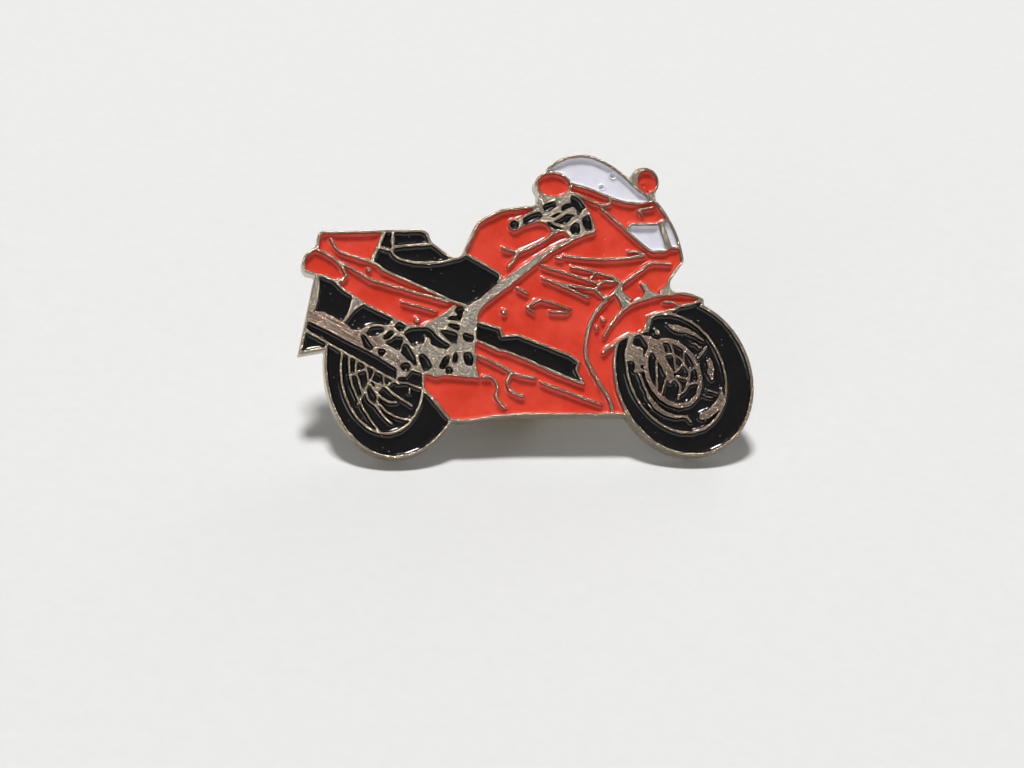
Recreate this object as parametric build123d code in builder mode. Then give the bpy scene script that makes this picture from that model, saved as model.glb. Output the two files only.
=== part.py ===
"""A struck metal lapel pin in the outline of a sport motorcycle, with enamel in its recesses.

The badge plate, its enamel fills and its post are one body. A butterfly clutch slides on the post.
The pin is stored as it rests on a table: on the tyres' lower edges and on one wing of the clutch.
The drawing is written in millimetres across (u) and up (v) the face, as it is seen from the front.
"""

from build123d import *
from math import atan2, cos, degrees, hypot, radians, sin
import os

# The badge
BADGE_LENGTH = 30.8  # from the plate bracket to the front tyre
PLATE_THICKNESS = 1.3
RECESS_DEPTH = 0.55
FILL_THICKNESS = 0.3
RIM_WIDTH = 0.2  # struck edge round the outline, at the drawing's own size
RIDGE_WIDTH = 0.2  # struck line, at the drawing's own size
SMALLEST_CELL = 0.012  # square millimetres, smaller corners stay metal

# The post, behind the face
POST_U = 15.4
POST_V = 10.2
POST_RADIUS = 0.6
POST_LENGTH = 8.2
POST_TIP = 1.0  # length of the point
POST_FLAT = 0.12  # radius of the point's blunt end
PAD_RADIUS = 1.5
PAD_THICKNESS = 0.35
GROOVE_DEPTH = 0.2
GROOVE_WIDTH = 0.6
NECK_LENGTH = 1.3  # plain stretch between the groove and the point

# The clutch
CAP_RADIUS = 5.6
CAP_SHEET = 0.35
CAP_DEPTH = 0.9  # from the rolled edge to the outside of the disc
CAP_GAP = 0.02  # rolled edge to the badge's back
CAP_BEVEL = 0.25  # softened bends of the sheet
TURRET_RADIUS = 2.5
TURRET_HEIGHT = 2.0
TURRET_HOLE = 1.0
WINDOW_LOW = 0.45  # from the disc's outside to the spring
SPRING_SHEET = 0.3
SPRING_WIDTH = 3.0
JAW_CLEARANCE = 0.05
WING_WIDTH = 3.8
WING_LENGTH = 4.3
WING_ANGLE = 52
WING_START = 2.9
WING_CORNER = 1.0

# Ovals: middle u, middle v, long half, short half, turn in degrees
FRONT_TYRE = (25.59, 5.70, 5.54, 4.78, 111)
FRONT_RIM = (25.10, 5.95, 4.18, 3.29, 112.7)
FRONT_DISC = (24.87, 5.95, 2.50, 1.93, 115)
REAR_TYRE = (6.10, 6.86, 6.54, 4.74, 86.2)
REAR_RIM = (5.15, 5.83, 3.93, 2.71, 95.8)
NEAR_MIRROR = (17.13, 18.85, 1.28, 0.98, -5)
FAR_MIRROR = (23.48, 19.18, 1.05, 1.00, 90)
FAR_GLASS = (23.66, 19.18, 0.80, 0.66, 90)
DISC_RING = 0.36  # width of the brake disc's ring

# Where a round line passes behind the bodywork and isn't struck: corners
FAR_MIRROR_HIDDEN = [(22.0, 19.78), (23.9, 17.87), (23.9, 17.0), (22.0, 17.0)]
FRONT_TYRE_HIDDEN = [(20.0, 7.95), (21.1, 8.05), (25.0, 7.0), (27.1, 10.95), (27.1, 12.0), (20.0, 12.0)]
FRONT_RIM_HIDDEN = [
    (20.0, 7.2), (21.4, 8.2), (22.5, 8.6), (23.1, 8.8), (23.4, 9.75), (25.0, 10.2), (25.0, 12.0),
    (20.0, 12.0),
]
REAR_RIM_HIDDEN = [(0.6, 8.5), (5.85, 5.5), (6.5, 5.4), (7.85, 4.85), (9.0, 6.0), (6.0, 11.0), (0.6, 11.0)]

# The outline of the bodywork, from the plate bracket's foot round over the top: form, points
# A row of arcs goes start, middle, end, middle, end and so on
BODY = (
    ("lines", [(1.6, 7.5), (-0.33, 7.15), (0.85, 12.45), (0.25, 12.62)]),
    ("arcs", [(0.25, 12.62), (0.02, 13.25), (0.45, 14.05)]),
    ("lines", [(0.45, 14.05), (1.0, 14.5), (1.08, 15.2), (1.28, 15.45), (8.05, 15.66)]),
    ("lines", [(8.05, 15.66), (8.45, 15.45), (8.68, 14.8), (9.95, 13.82)]),
    ("arcs", [(9.95, 13.82), (10.5, 13.83), (10.9, 14.35)]),
    ("lines", [(10.9, 14.35), (11.5, 15.65)]),
    ("arcs", [(11.5, 15.65), (11.92, 16.3), (12.6, 16.68)]),
    ("lines", [(12.6, 16.68), (13.5, 17.15), (15.75, 17.42), (16.02, 17.75), (16.1, 18.4)]),
    ("lines", [(16.1, 18.4), (16.7, 19.5), (16.65, 19.97)]),
    ("arcs", [(16.65, 19.97), (18.2, 20.9), (19.95, 20.95), (21.2, 20.33), (22.5, 19.28)]),
    ("lines", [(22.5, 19.28), (23.2, 18.6), (24.2, 18.55), (24.2, 17.95)]),
    ("arcs", [(24.2, 17.95), (25.4, 16.05), (25.96, 14.0)]),
    ("lines", [(25.96, 14.0), (25.98, 13.62), (24.98, 12.3), (24.93, 11.8), (25.2, 11.52)]),
    ("arcs", [(25.2, 11.52), (26.3, 11.45), (27.25, 11.05)]),
    ("lines", [(27.25, 11.05), (27.25, 10.5), (25.0, 8.0), (22.0, 3.02), (14.1, 3.05)]),
    ("lines", [(14.1, 3.05), (12.8, 2.93), (11.2, 2.68), (10.35, 2.63), (9.6, 2.72)]),
    ("lines", [(9.6, 2.72), (8.0, 3.6), (1.6, 7.5)]),
)

# Struck lines: name, width in ridges, form, points along the middle
STROKES = (
    ("tail_lamp_edge", 1.0, "arcs", [
        (0.85, 14.27), (1.62, 13.93), (2.31, 13.45), (2.66, 13.05), (2.92, 12.54), (2.74, 12.26),
        (2.25, 12.02),
    ]),
    ("tail_under", 1.0, "lines", [
        (0.6, 12.5), (1.4, 12.42), (1.95, 12.2), (2.31, 11.93), (2.67, 11.54), (4.13, 10.55), (6.67, 9.26),
        (7.28, 9.05), (7.9, 9.03), (8.6, 9.36), (9.3, 9.82), (10.15, 10.45),
    ]),
    ("tail_upper_line", 1.0, "lines", [
        (2.31, 13.45), (3.4, 12.9), (4.6, 12.17), (5.2, 12.0), (7.5, 11.34), (9.75, 10.73),
    ]),
    ("tail_rear_crease", 0.9, "lines", [(1.9, 15.0), (2.19, 14.48), (2.5, 14.08)]),
    ("tail_top_edge", 1.0, "lines", [(2.5, 14.06), (3.88, 13.63), (4.6, 13.42)]),
    ("tail_low_crease", 0.8, "lines", [(6.5, 10.72), (7.6, 10.45), (8.95, 10.05)]),
    ("seat_back", 1.3, "lines", [(5.55, 15.5), (5.1, 14.5), (4.6, 13.38)]),
    ("seat_under", 1.0, "lines", [
        (4.5, 13.42), (4.98, 13.24), (5.2, 13.08), (5.36, 12.85), (8.4, 11.52), (9.92, 10.8), (11.1, 10.38),
    ]),
    ("seat_front", 1.0, "lines", [(10.8, 14.1), (12.8, 12.95), (13.22, 12.65), (13.3, 12.4), (13.05, 12.05)]),
    ("pad_left", 1.0, "lines", [(5.1, 14.42), (5.75, 14.24), (6.05, 14.2)]),
    ("pad_upright", 1.2, "lines", [(6.05, 14.2), (6.1, 15.55)]),
    ("pad_middle", 1.0, "lines", [(6.05, 14.42), (7.0, 14.53), (8.65, 14.65)]),
    ("pad_under", 1.0, "arcs", [(5.98, 14.25), (6.22, 13.8), (6.75, 13.54), (8.4, 13.34), (10.1, 13.65)]),
    ("tank_crease", 1.0, "lines", [
        (13.4, 14.47), (14.5, 14.15), (15.4, 14.5), (16.45, 15.03), (16.9, 15.45), (17.35, 15.66),
    ]),
    ("tank_crease_leg", 1.1, "lines", [(14.5, 14.15), (14.1, 13.5), (13.78, 13.12)]),
    ("side_crease", 1.0, "arcs", [(17.65, 13.98), (20.4, 13.74), (23.3, 14.05)]),
    ("side_crease_hook", 1.0, "arcs", [(23.3, 14.03), (22.75, 14.28), (22.1, 14.25)]),
    ("side_crease_start", 0.9, "lines", [(17.05, 13.84), (17.6, 13.76)]),
    ("vent_upper", 1.0, "lines", [(18.1, 13.22), (19.14, 13.04), (20.95, 12.55), (21.5, 12.15)]),
    ("vent_middle", 1.0, "lines", [
        (16.05, 13.28), (18.05, 12.67), (19.98, 12.05), (20.35, 12.19), (21.3, 12.25),
    ]),
    ("vent_link", 0.9, "lines", [(19.8, 12.85), (19.35, 12.35)]),
    ("vent_lower", 1.0, "lines", [
        (16.1, 12.43), (17.14, 12.07), (18.9, 11.76), (19.74, 11.67), (20.05, 12.0),
    ]),
    ("vent_branch", 1.0, "lines", [(17.14, 12.05), (18.05, 11.63), (19.3, 11.06)]),
    ("vent_end", 1.0, "lines", [(19.74, 11.67), (20.3, 11.1), (20.6, 11.08), (21.2, 11.65)]),
    ("side_mark_a", 0.9, "lines", [(14.32, 11.75), (15.1, 11.32)]),
    ("side_mark_b", 0.9, "lines", [
        (14.95, 10.35), (15.56, 10.8), (16.0, 10.93), (16.53, 10.8), (18.05, 10.25),
    ]),
    ("side_mark_c", 0.9, "lines", [(16.5, 10.1), (17.8, 10.08)]),
    ("side_mark_d", 0.8, "lines", [(15.0, 10.38), (15.52, 10.04)]),
    ("stripe_top", 1.0, "lines", [
        (11.3, 9.5), (13.15, 8.93), (13.25, 8.42), (14.3, 8.5), (17.85, 7.12), (18.38, 6.68), (18.2, 6.2),
        (18.66, 5.15),
    ]),
    ("stripe_under", 1.0, "lines", [
        (18.7, 5.2), (17.1, 5.8), (14.6, 6.95), (13.6, 7.38), (13.05, 7.45), (11.3, 8.25),
    ]),
    ("panel_line", 1.0, "lines", [
        (11.3, 7.22), (12.03, 6.93), (13.06, 6.45), (13.85, 5.96), (14.3, 5.77), (15.45, 5.58),
    ]),
    ("panel_hook", 1.0, "arcs", [(13.85, 5.96), (13.5, 5.35), (13.75, 4.7), (14.15, 4.5), (14.6, 4.36)]),
    ("belly_crease", 1.0, "lines", [
        (11.8, 5.66), (12.4, 5.7), (12.72, 5.4), (12.85, 4.87), (12.65, 4.5), (12.85, 4.05), (13.35, 3.5),
    ]),
    ("belly_line", 1.0, "lines", [(15.74, 5.32), (19.86, 3.78)]),
    ("belly_back", 1.2, "lines", [(7.85, 5.9), (7.8, 4.9), (8.45, 4.22), (9.75, 2.6)]),
    ("fairing_edge", 1.3, "arcs", [
        (20.5, 10.95), (19.48, 9.72), (18.98, 8.3), (18.88, 7.5), (18.97, 6.85), (19.4, 5.9), (19.98, 4.87),
        (20.42, 4.1), (20.55, 3.05),
    ]),
    ("fender_top", 1.0, "arcs", [(20.17, 8.4), (20.98, 9.6), (21.9, 10.53), (23.4, 11.1), (25.3, 11.38)]),
    ("fender_under", 1.0, "lines", [(20.0, 7.3), (21.38, 8.23), (21.98, 8.55), (22.64, 8.62), (23.1, 8.82)]),
    ("fender_back", 1.8, "lines", [(23.1, 8.75), (23.45, 9.8)]),
    ("fender_inner", 1.0, "lines", [
        (23.35, 9.75), (24.14, 10.05), (25.05, 10.25), (25.53, 10.54), (26.08, 10.63), (27.25, 10.98),
    ]),
    ("fender_tip", 0.9, "lines", [(24.4, 10.85), (24.98, 10.84), (25.55, 10.55)]),
    ("nose_low", 1.0, "lines", [(21.6, 12.0), (23.5, 13.45), (23.9, 13.54), (25.1, 13.48)]),
    ("cowl_line", 1.0, "lines", [
        (20.3, 17.36), (20.6, 17.14), (23.0, 14.9), (23.6, 14.42), (24.0, 14.3), (24.7, 14.35), (25.0, 14.6),
        (25.95, 14.62),
    ]),
    ("lamp_top", 1.0, "lines", [(22.1, 15.75), (22.4, 16.2), (24.45, 16.25), (25.1, 16.6)]),
    ("lamp_divide", 2.1, "lines", [(24.5, 16.28), (25.0, 14.55)]),
    ("screen_under", 1.0, "arcs", [
        (18.3, 18.98), (19.8, 18.55), (21.05, 18.05), (22.0, 17.75), (23.0, 17.66), (23.7, 17.78),
        (24.35, 18.0),
    ]),
    ("screen_strip", 1.0, "lines", [
        (18.5, 18.32), (19.7, 17.78), (20.56, 17.46), (20.95, 17.6), (21.1, 18.05),
    ]),
    ("screen_end", 1.0, "lines", [(22.3, 19.48), (23.95, 17.82)]),
    ("nose_mark", 0.9, "lines", [(22.86, 17.1), (23.5, 17.33), (24.1, 17.42)]),
    ("nose_stub", 0.8, "lines", [(23.05, 17.15), (23.26, 16.75)]),
    ("silencer_under", 1.0, "lines", [(0.05, 8.85), (0.6, 8.5), (2.0, 7.7), (6.25, 5.25)]),
    ("bracket_foot", 1.0, "lines", [(1.2, 7.45), (1.5, 7.62), (1.56, 8.0)]),
    ("rear_spoke_a", 0.9, "arcs", [(3.0, 7.1), (3.02, 5.8), (3.4, 4.5), (4.05, 3.25), (4.95, 1.95)]),
    ("rear_spoke_b", 0.9, "lines", [(3.5, 6.9), (3.38, 5.9), (3.55, 5.68), (3.66, 5.13), (3.86, 4.5)]),
    ("rear_spoke_c", 0.9, "lines", [(4.0, 6.65), (4.18, 5.81), (4.26, 5.3), (3.86, 4.5), (3.45, 3.8)]),
    ("rear_cross", 0.9, "lines", [(2.95, 5.75), (3.38, 5.9), (4.1, 6.2)]),
    ("rear_hub_back", 0.8, "lines", [(4.7, 6.25), (4.45, 5.55), (4.26, 5.3)]),
    ("rear_hub_top", 0.9, "lines", [(4.36, 5.5), (4.75, 5.22), (5.2, 5.07), (5.55, 5.1), (6.0, 5.5)]),
    ("rear_hub_post", 0.8, "lines", [(5.2, 5.9), (5.28, 5.1)]),
    ("rear_lens_left", 0.9, "arcs", [(4.06, 4.9), (4.27, 4.1), (4.78, 3.72)]),
    ("rear_lens_right", 0.9, "lines", [(4.26, 5.3), (4.6, 4.79), (4.8, 4.37), (4.75, 3.65)]),
    ("rear_spoke_low", 1.0, "lines", [(4.72, 3.76), (4.97, 3.35), (5.42, 2.8), (5.75, 2.55)]),
    ("rear_spoke_d", 0.9, "arcs", [(4.78, 4.75), (5.24, 4.15), (6.13, 4.0)]),
    ("rear_spoke_e", 0.9, "arcs", [(4.75, 4.1), (5.5, 3.28), (7.1, 2.84)]),
    ("rear_spoke_f", 0.9, "lines", [(5.3, 5.05), (5.88, 4.52), (7.12, 3.7)]),
    ("rear_stay", 1.0, "lines", [(6.1, 5.65), (6.2, 5.25), (6.73, 5.3), (7.85, 4.85)]),
    ("rear_mark", 0.8, "lines", [(6.97, 5.0), (6.91, 4.5)]),
    ("front_spoke_a", 1.0, "lines", [
        (24.1, 8.0), (24.4, 7.22), (24.95, 7.25), (25.45, 6.9), (26.0, 6.05), (25.95, 5.5), (25.6, 4.7),
        (25.2, 4.45), (25.1, 4.1),
    ]),
    ("front_spoke_b", 0.9, "lines", [(24.75, 8.1), (24.98, 7.25), (25.05, 6.1)]),
    ("front_spoke_c", 0.9, "lines", [(25.7, 7.7), (25.65, 6.6), (25.0, 5.95)]),
    ("front_spoke_d", 0.9, "lines", [(26.6, 6.5), (26.0, 6.05)]),
    ("front_spoke_e", 0.9, "lines", [(25.0, 5.75), (25.95, 5.5)]),
    ("front_spoke_f", 1.0, "lines", [(24.95, 5.6), (25.35, 5.1), (25.2, 4.45)]),
    ("front_spoke_g", 0.9, "lines", [(26.8, 5.4), (25.95, 5.15), (25.6, 4.7)]),
    ("front_spoke_h", 0.9, "lines", [(24.4, 5.65), (24.0, 4.5)]),
    ("front_spoke_i", 1.0, "lines", [(23.75, 6.9), (23.7, 4.8)]),
    ("front_stay", 1.0, "lines", [(26.6, 6.95), (26.95, 7.3), (27.3, 7.8)]),
    ("front_arc", 1.0, "arcs", [(22.55, 5.95), (22.84, 5.0), (23.5, 3.85), (24.55, 3.13), (25.75, 2.98)]),
    ("front_arc_end", 1.0, "lines", [(25.65, 3.0), (26.0, 2.55)]),
    ("front_mark_a", 0.8, "lines", [(26.2, 7.98), (26.55, 7.95), (26.85, 7.65)]),
    ("front_mark_b", 0.6, "lines", [(27.15, 4.8), (27.9, 4.55)]),
    ("front_mark_c", 0.6, "lines", [(27.0, 4.35), (27.55, 4.25)]),
    ("front_mark_d", 0.7, "lines", [(23.0, 3.9), (23.3, 3.5)]),
)

# Raised metal areas: name, corners
METAL = (
    ("frame_spar", [
        (10.9, 10.4), (11.74, 10.95), (12.95, 11.95), (13.44, 12.3), (15.4, 13.68), (16.8, 14.55),
        (18.15, 15.22), (18.4, 15.04), (16.7, 14.1), (14.2, 12.07), (12.35, 10.7), (11.75, 10.1),
    ]),
    ("plate_bracket", [
        (0.3, 10.0), (0.85, 12.5), (1.08, 12.4), (1.18, 11.7), (1.0, 10.66), (0.85, 10.2), (0.6, 9.95),
    ]),
    ("tail_strut", [
        (3.3, 11.05), (4.05, 10.5), (3.55, 10.2), (3.0, 9.6), (2.85, 9.3), (2.6, 9.4), (3.05, 10.2),
    ]),
    ("silencer", [
        (0.15, 9.3), (0.5, 9.93), (1.0, 10.05), (1.4, 10.0), (2.67, 9.38), (3.28, 8.8), (3.7, 8.8),
        (4.5, 8.5), (5.6, 7.6), (7.0, 6.75), (7.25, 6.2), (6.8, 5.6), (6.1, 5.6), (6.05, 6.25),
        (4.98, 6.96), (0.4, 9.35),
    ]),
    ("engine", [
        (3.6, 8.75), (4.13, 9.05), (4.55, 9.2), (5.04, 9.2), (5.5, 9.1), (6.0, 9.6), (7.28, 9.1), (7.9, 9.05),
        (8.6, 9.35), (9.3, 9.8), (10.1, 10.42), (11.0, 10.45), (11.8, 10.15), (11.6, 9.45), (11.52, 8.2),
        (11.42, 7.8), (11.48, 6.2), (11.65, 5.55), (10.2, 5.68), (9.3, 5.78), (8.8, 5.6), (8.4, 5.75),
        (7.75, 5.85), (7.0, 6.1), (5.6, 7.5), (4.4, 8.3),
    ]),
    ("cockpit", [
        (14.5, 16.45), (15.1, 16.75), (15.55, 17.05), (15.8, 17.4), (16.1, 17.75), (16.3, 18.1), (17.4, 18.0),
        (18.3, 18.45), (18.62, 18.3), (19.15, 17.8), (19.55, 17.05), (19.85, 16.27), (19.95, 15.75),
        (19.75, 15.53), (19.1, 15.36), (18.4, 15.02), (18.15, 15.2), (17.75, 15.6), (16.95, 15.6),
        (16.6, 16.05), (16.3, 16.25), (15.7, 16.2), (14.9, 15.93), (14.55, 15.72), (14.2, 15.7),
    ]),
    ("fork_bracket", [
        (21.35, 12.25), (21.65, 12.05), (21.68, 11.5), (22.25, 11.02), (21.9, 10.5), (21.5, 10.3),
        (21.35, 10.96), (21.0, 11.4),
    ]),
    ("steering_stop", [
        (22.86, 12.1), (23.17, 12.17), (23.4, 11.93), (23.53, 11.63), (24.05, 11.45), (24.0, 11.15),
        (23.05, 10.98), (22.98, 11.26), (23.17, 11.5), (22.95, 11.87),
    ]),
    ("nose_corner", [(24.15, 11.55), (24.8, 12.2), (25.05, 11.9), (25.25, 11.4), (24.35, 11.25)]),
    ("fork_leg", [
        (22.7, 8.6), (23.3, 8.5), (23.9, 8.2), (24.1, 7.7), (24.4, 7.0), (24.95, 6.0), (24.95, 5.5),
        (24.65, 5.15), (24.4, 5.6), (24.0, 6.5), (23.6, 7.2), (23.2, 7.8),
    ]),
    ("caliper", [
        (21.9, 8.45), (22.35, 8.55), (22.15, 8.0), (22.5, 7.75), (22.85, 7.7), (22.9, 6.55), (22.6, 6.4),
        (22.9, 6.05), (22.4, 5.95), (22.1, 6.0), (22.25, 6.5), (22.15, 6.75), (21.6, 6.75), (21.5, 7.2),
    ]),
    ("brake_hose", [
        (24.55, 9.28), (25.3, 9.27), (26.0, 9.05), (26.6, 8.72), (27.2, 8.2), (27.1, 8.1), (26.5, 8.45),
        (25.9, 8.7), (25.2, 8.75), (24.95, 8.9),
    ]),
    ("wheel_lug", [
        (27.25, 6.8), (27.42, 7.0), (27.66, 6.78), (27.78, 6.2), (27.66, 5.5), (27.5, 5.4), (27.4, 5.7),
        (27.2, 6.0), (27.3, 6.4),
    ]),
    ("wheel_web", [
        (26.55, 3.2), (27.2, 3.45), (27.8, 4.05), (28.2, 4.9), (28.45, 4.2), (28.1, 3.5), (27.4, 2.95),
        (26.8, 2.7), (26.5, 2.8),
    ]),
    ("rear_hub", [(4.62, 5.3), (5.15, 5.08), (5.05, 4.8), (4.85, 4.66), (4.6, 4.75)]),
)

# Small raised dots: middle u, middle v, radius
DOTS = (
    (7.55, 9.5, 0.2),
    (4.42, 12.88, 0.18),
    (13.45, 10.1, 0.2),
    (20.2, 9.55, 0.16),
    (19.73, 9.05, 0.16),
    (23.9, 8.75, 0.2),
)
DOT_SIDES = 8
GRIP_END = (14.35, 16.05, 0.42)  # middle u, middle v, radius
GRIP_RING = 0.7  # width of the ring round the grip's end, in ridges
GRIP_SIDES = 12

# Recesses sunk in the raised metal: corners of each
COCKPIT_PITS = (
    [(14.86, 16.42), (15.7, 16.88), (16.08, 16.94), (16.26, 16.72), (16.12, 16.5), (15.05, 16.1)],
    [(16.32, 17.42), (17.1, 17.72), (17.22, 17.55), (17.17, 17.3), (16.56, 16.95), (16.44, 17.1)],
    [
        (17.6, 17.28), (17.9, 17.52), (18.3, 17.62), (18.3, 18.12), (18.6, 18.06), (18.98, 17.78),
        (19.23, 17.3), (18.98, 17.02), (18.74, 16.8), (18.66, 17.2), (18.38, 17.4), (18.0, 17.22),
        (17.65, 17.05),
    ],
    [(16.8, 16.64), (17.45, 16.94), (17.5, 16.82), (17.1, 16.64)],
    [
        (17.05, 16.33), (17.6, 16.54), (17.95, 16.85), (18.5, 16.75), (18.08, 16.42), (17.95, 16.2),
        (17.6, 16.12),
    ],
    [(16.58, 16.25), (16.76, 16.25), (17.05, 16.02), (17.65, 15.8), (17.17, 15.8), (16.78, 16.0)],
    [
        (18.14, 15.78), (18.4, 16.25), (18.72, 16.22), (18.86, 15.84), (18.78, 15.54), (18.5, 15.38),
        (18.3, 15.5),
    ],
    [(19.05, 16.57), (19.45, 16.82), (19.6, 16.33), (19.64, 15.86), (19.35, 15.65), (19.1, 16.02)],
)
ENGINE_PITS = (
    [(4.2, 8.6), (4.5, 8.95), (5.0, 9.02), (5.3, 8.92), (5.2, 8.65), (4.9, 8.48), (4.35, 8.45)],
    [(5.34, 8.17), (5.34, 8.41), (5.82, 8.76), (6.0, 8.66), (5.76, 8.35)],
    [(6.07, 9.02), (6.37, 9.33), (6.8, 9.1), (6.6, 8.8), (6.3, 8.77)],
    [(5.46, 7.95), (6.07, 8.33), (6.58, 8.28), (6.3, 7.47), (6.0, 7.6)],
    [
        (6.68, 8.6), (7.0, 8.85), (7.6, 8.94), (8.2, 8.96), (8.58, 8.7), (9.0, 8.2), (9.65, 7.8),
        (9.58, 7.58), (9.0, 7.64), (8.52, 7.86), (8.44, 8.3), (8.05, 8.42), (7.92, 7.95), (7.6, 7.95),
        (7.24, 7.75), (6.9, 8.3),
    ],
    [
        (6.65, 7.85), (6.9, 7.78), (7.1, 7.4), (7.35, 6.9), (7.45, 6.35), (7.25, 6.55), (6.9, 6.85),
        (6.47, 7.3),
    ],
    [(7.65, 7.1), (7.9, 7.2), (8.3, 6.75), (8.45, 6.35), (8.05, 6.05), (7.85, 6.3)],
    [(9.0, 6.3), (9.25, 6.9), (9.65, 7.1), (9.5, 6.6), (9.2, 6.2)],
    [(9.4, 5.95), (9.45, 6.3), (9.7, 6.35), (9.85, 6.05), (9.7, 5.9)],
    [(9.88, 6.6), (9.95, 7.1), (10.05, 7.35), (10.2, 7.0), (10.1, 6.65)],
    [(10.62, 7.05), (10.7, 7.28), (11.05, 7.3), (11.2, 7.0), (11.15, 6.45), (10.9, 6.45), (10.7, 6.7)],
    [
        (10.12, 10.12), (10.38, 10.36), (10.8, 10.32), (10.62, 10.05), (10.55, 9.75), (10.4, 9.48),
        (9.65, 9.55), (9.85, 9.74), (10.25, 9.75), (10.33, 9.95),
    ],
    [(9.6, 9.15), (9.8, 9.25), (10.35, 9.1), (10.3, 8.85), (10.0, 8.95)],
    [(9.1, 8.75), (9.5, 8.78), (10.1, 8.6), (10.2, 8.45), (10.1, 7.95), (9.85, 7.98)],
    [(10.62, 8.45), (10.75, 8.6), (11.3, 8.4), (11.25, 8.08), (10.68, 8.12)],
)
SILENCER_PITS = (
    [(3.85, 8.42), (4.05, 8.42), (4.3, 8.0), (4.58, 7.58), (4.4, 7.5), (4.08, 7.65), (3.95, 8.0)],
    [(4.98, 7.48), (5.38, 7.48), (5.3, 7.18), (5.1, 7.02), (4.97, 7.12)],
    [(6.4, 6.45), (6.7, 6.62), (7.0, 6.45), (6.9, 6.15), (6.6, 6.0)],
)

# Fills of enamel: node, points inside its recesses
FILLS = (
    ("enamel_tail_lamp", [(1.2, 13.2)]),
    ("enamel_tail_top", [(3.5, 14.6)]),
    ("enamel_tail_side", [(4.5, 11.5)]),
    ("enamel_tank", [(12.5, 15.5)]),
    ("enamel_fairing", [(14.5, 9.0)]),
    ("enamel_vents", [(20.2, 12.6), (20.5, 11.7)]),
    ("enamel_screen_strip", [(19.5, 18.2)]),
    ("enamel_cowl", [(22.0, 17.2)]),
    ("enamel_front_fender", [(22.5, 9.8)]),
    ("enamel_near_mirror", [(17.13, 18.85)]),
    ("enamel_far_mirror", [(23.66, 19.18)]),
    ("enamel_windscreen", [(20.0, 19.8)]),
    ("enamel_headlamps", [(23.6, 15.3), (25.3, 15.3)]),
    ("enamel_seat", [(9.0, 12.4)]),
    ("enamel_pillion_pad", [(7.3, 15.1), (7.5, 14.0), (5.65, 14.9)]),
    ("enamel_plate_panel", [(1.8, 11.2), (0.6, 8.0)]),
    ("enamel_under_tail", [(3.9, 9.6)]),
    ("enamel_silencer_shadow", [(2.5, 7.9)]),
    ("enamel_side_stripe", [(15.0, 7.6)]),
    ("enamel_rear_tyre", [(5.9, 1.2)]),
    ("enamel_front_tyre", [(26.0, 1.1)]),
)

# Small black recesses, by the area that they lie in: node, left, low, right, high
AREAS = (
    ("enamel_front_wheel", 21.0, 1.5, 29.0, 10.3),
    ("enamel_rear_wheel", 2.2, 1.5, 7.9, 5.35),
    ("enamel_rear_wheel", 2.2, 5.3, 5.8, 6.9),
    ("enamel_engine", 2.2, 5.3, 12.0, 10.7),
    ("enamel_cockpit", 13.8, 15.0, 20.2, 18.5),
)


def oval_reach(oval):
    """How far an oval reaches sideways and up from its middle."""
    middle_u, middle_v, long_half, short_half, turn = oval
    sideways = hypot(long_half * cos(radians(turn)), short_half * sin(radians(turn)))
    upwards = hypot(long_half * sin(radians(turn)), short_half * cos(radians(turn)))
    return sideways, upwards


# The drawing's own extent, and the scale that gives it the badge's length
drawn_left = min(u for form, points in BODY for u, v in points)
drawn_right = FRONT_TYRE[0] + oval_reach(FRONT_TYRE)[0]
drawn_middle = (drawn_left + drawn_right) / 2
drawn_foot = FRONT_TYRE[1] - oval_reach(FRONT_TYRE)[1]
SCALE = BADGE_LENGTH / (drawn_right - drawn_left)
rim = RIM_WIDTH * SCALE
ridge = RIDGE_WIDTH * SCALE


def at(u, v):
    """A point of the drawing, on the badge's own plane."""
    return ((u - drawn_middle) * SCALE, (v - drawn_foot) * SCALE)


def tyre_middle(oval):
    """A tyre's middle on the badge's plane, at the height where the tyre just meets the foot line."""
    return (at(oval[0], 0)[0], oval_reach(oval)[1] * SCALE)


def oval_radii(oval, inset):
    return (oval[2] * SCALE - inset, oval[3] * SCALE - inset)


def draw(form, points):
    """Lines through the points, or arcs that go start, middle, end, middle, end and so on."""
    spots = [at(*p) for p in points]
    if form == "lines":
        Polyline(*spots)
    else:
        for start in range(0, len(spots) - 2, 2):
            ThreePointArc(*spots[start : start + 3])


# Drawing: bodywork, outline and the area inside the rim
with BuildSketch() as body_area:
    with BuildLine():
        for form, points in BODY:
            draw(form, points)
    make_face()

with BuildSketch() as tyre_area:
    for oval in (FRONT_TYRE, REAR_TYRE):
        with Locations(tyre_middle(oval)):
            Ellipse(*oval_radii(oval, 0), rotation=oval[4])

with BuildSketch() as mirror_area:
    for oval in (NEAR_MIRROR, FAR_MIRROR):
        with Locations(at(oval[0], oval[1])):
            Ellipse(*oval_radii(oval, 0), rotation=oval[4])

with BuildSketch() as outline:
    add(body_area.sketch)
    add(tyre_area.sketch)
    add(mirror_area.sketch)

with BuildSketch() as inside:
    add(body_area.sketch)
    offset(amount=-rim, kind=Kind.INTERSECTION, mode=Mode.REPLACE)
    for oval in (FRONT_TYRE, REAR_TYRE):
        with Locations(tyre_middle(oval)):
            Ellipse(*oval_radii(oval, rim), rotation=oval[4])
    for oval, inset in ((NEAR_MIRROR, rim), (FAR_GLASS, 0)):
        with Locations(at(oval[0], oval[1])):
            Ellipse(*oval_radii(oval, inset), rotation=oval[4])

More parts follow.
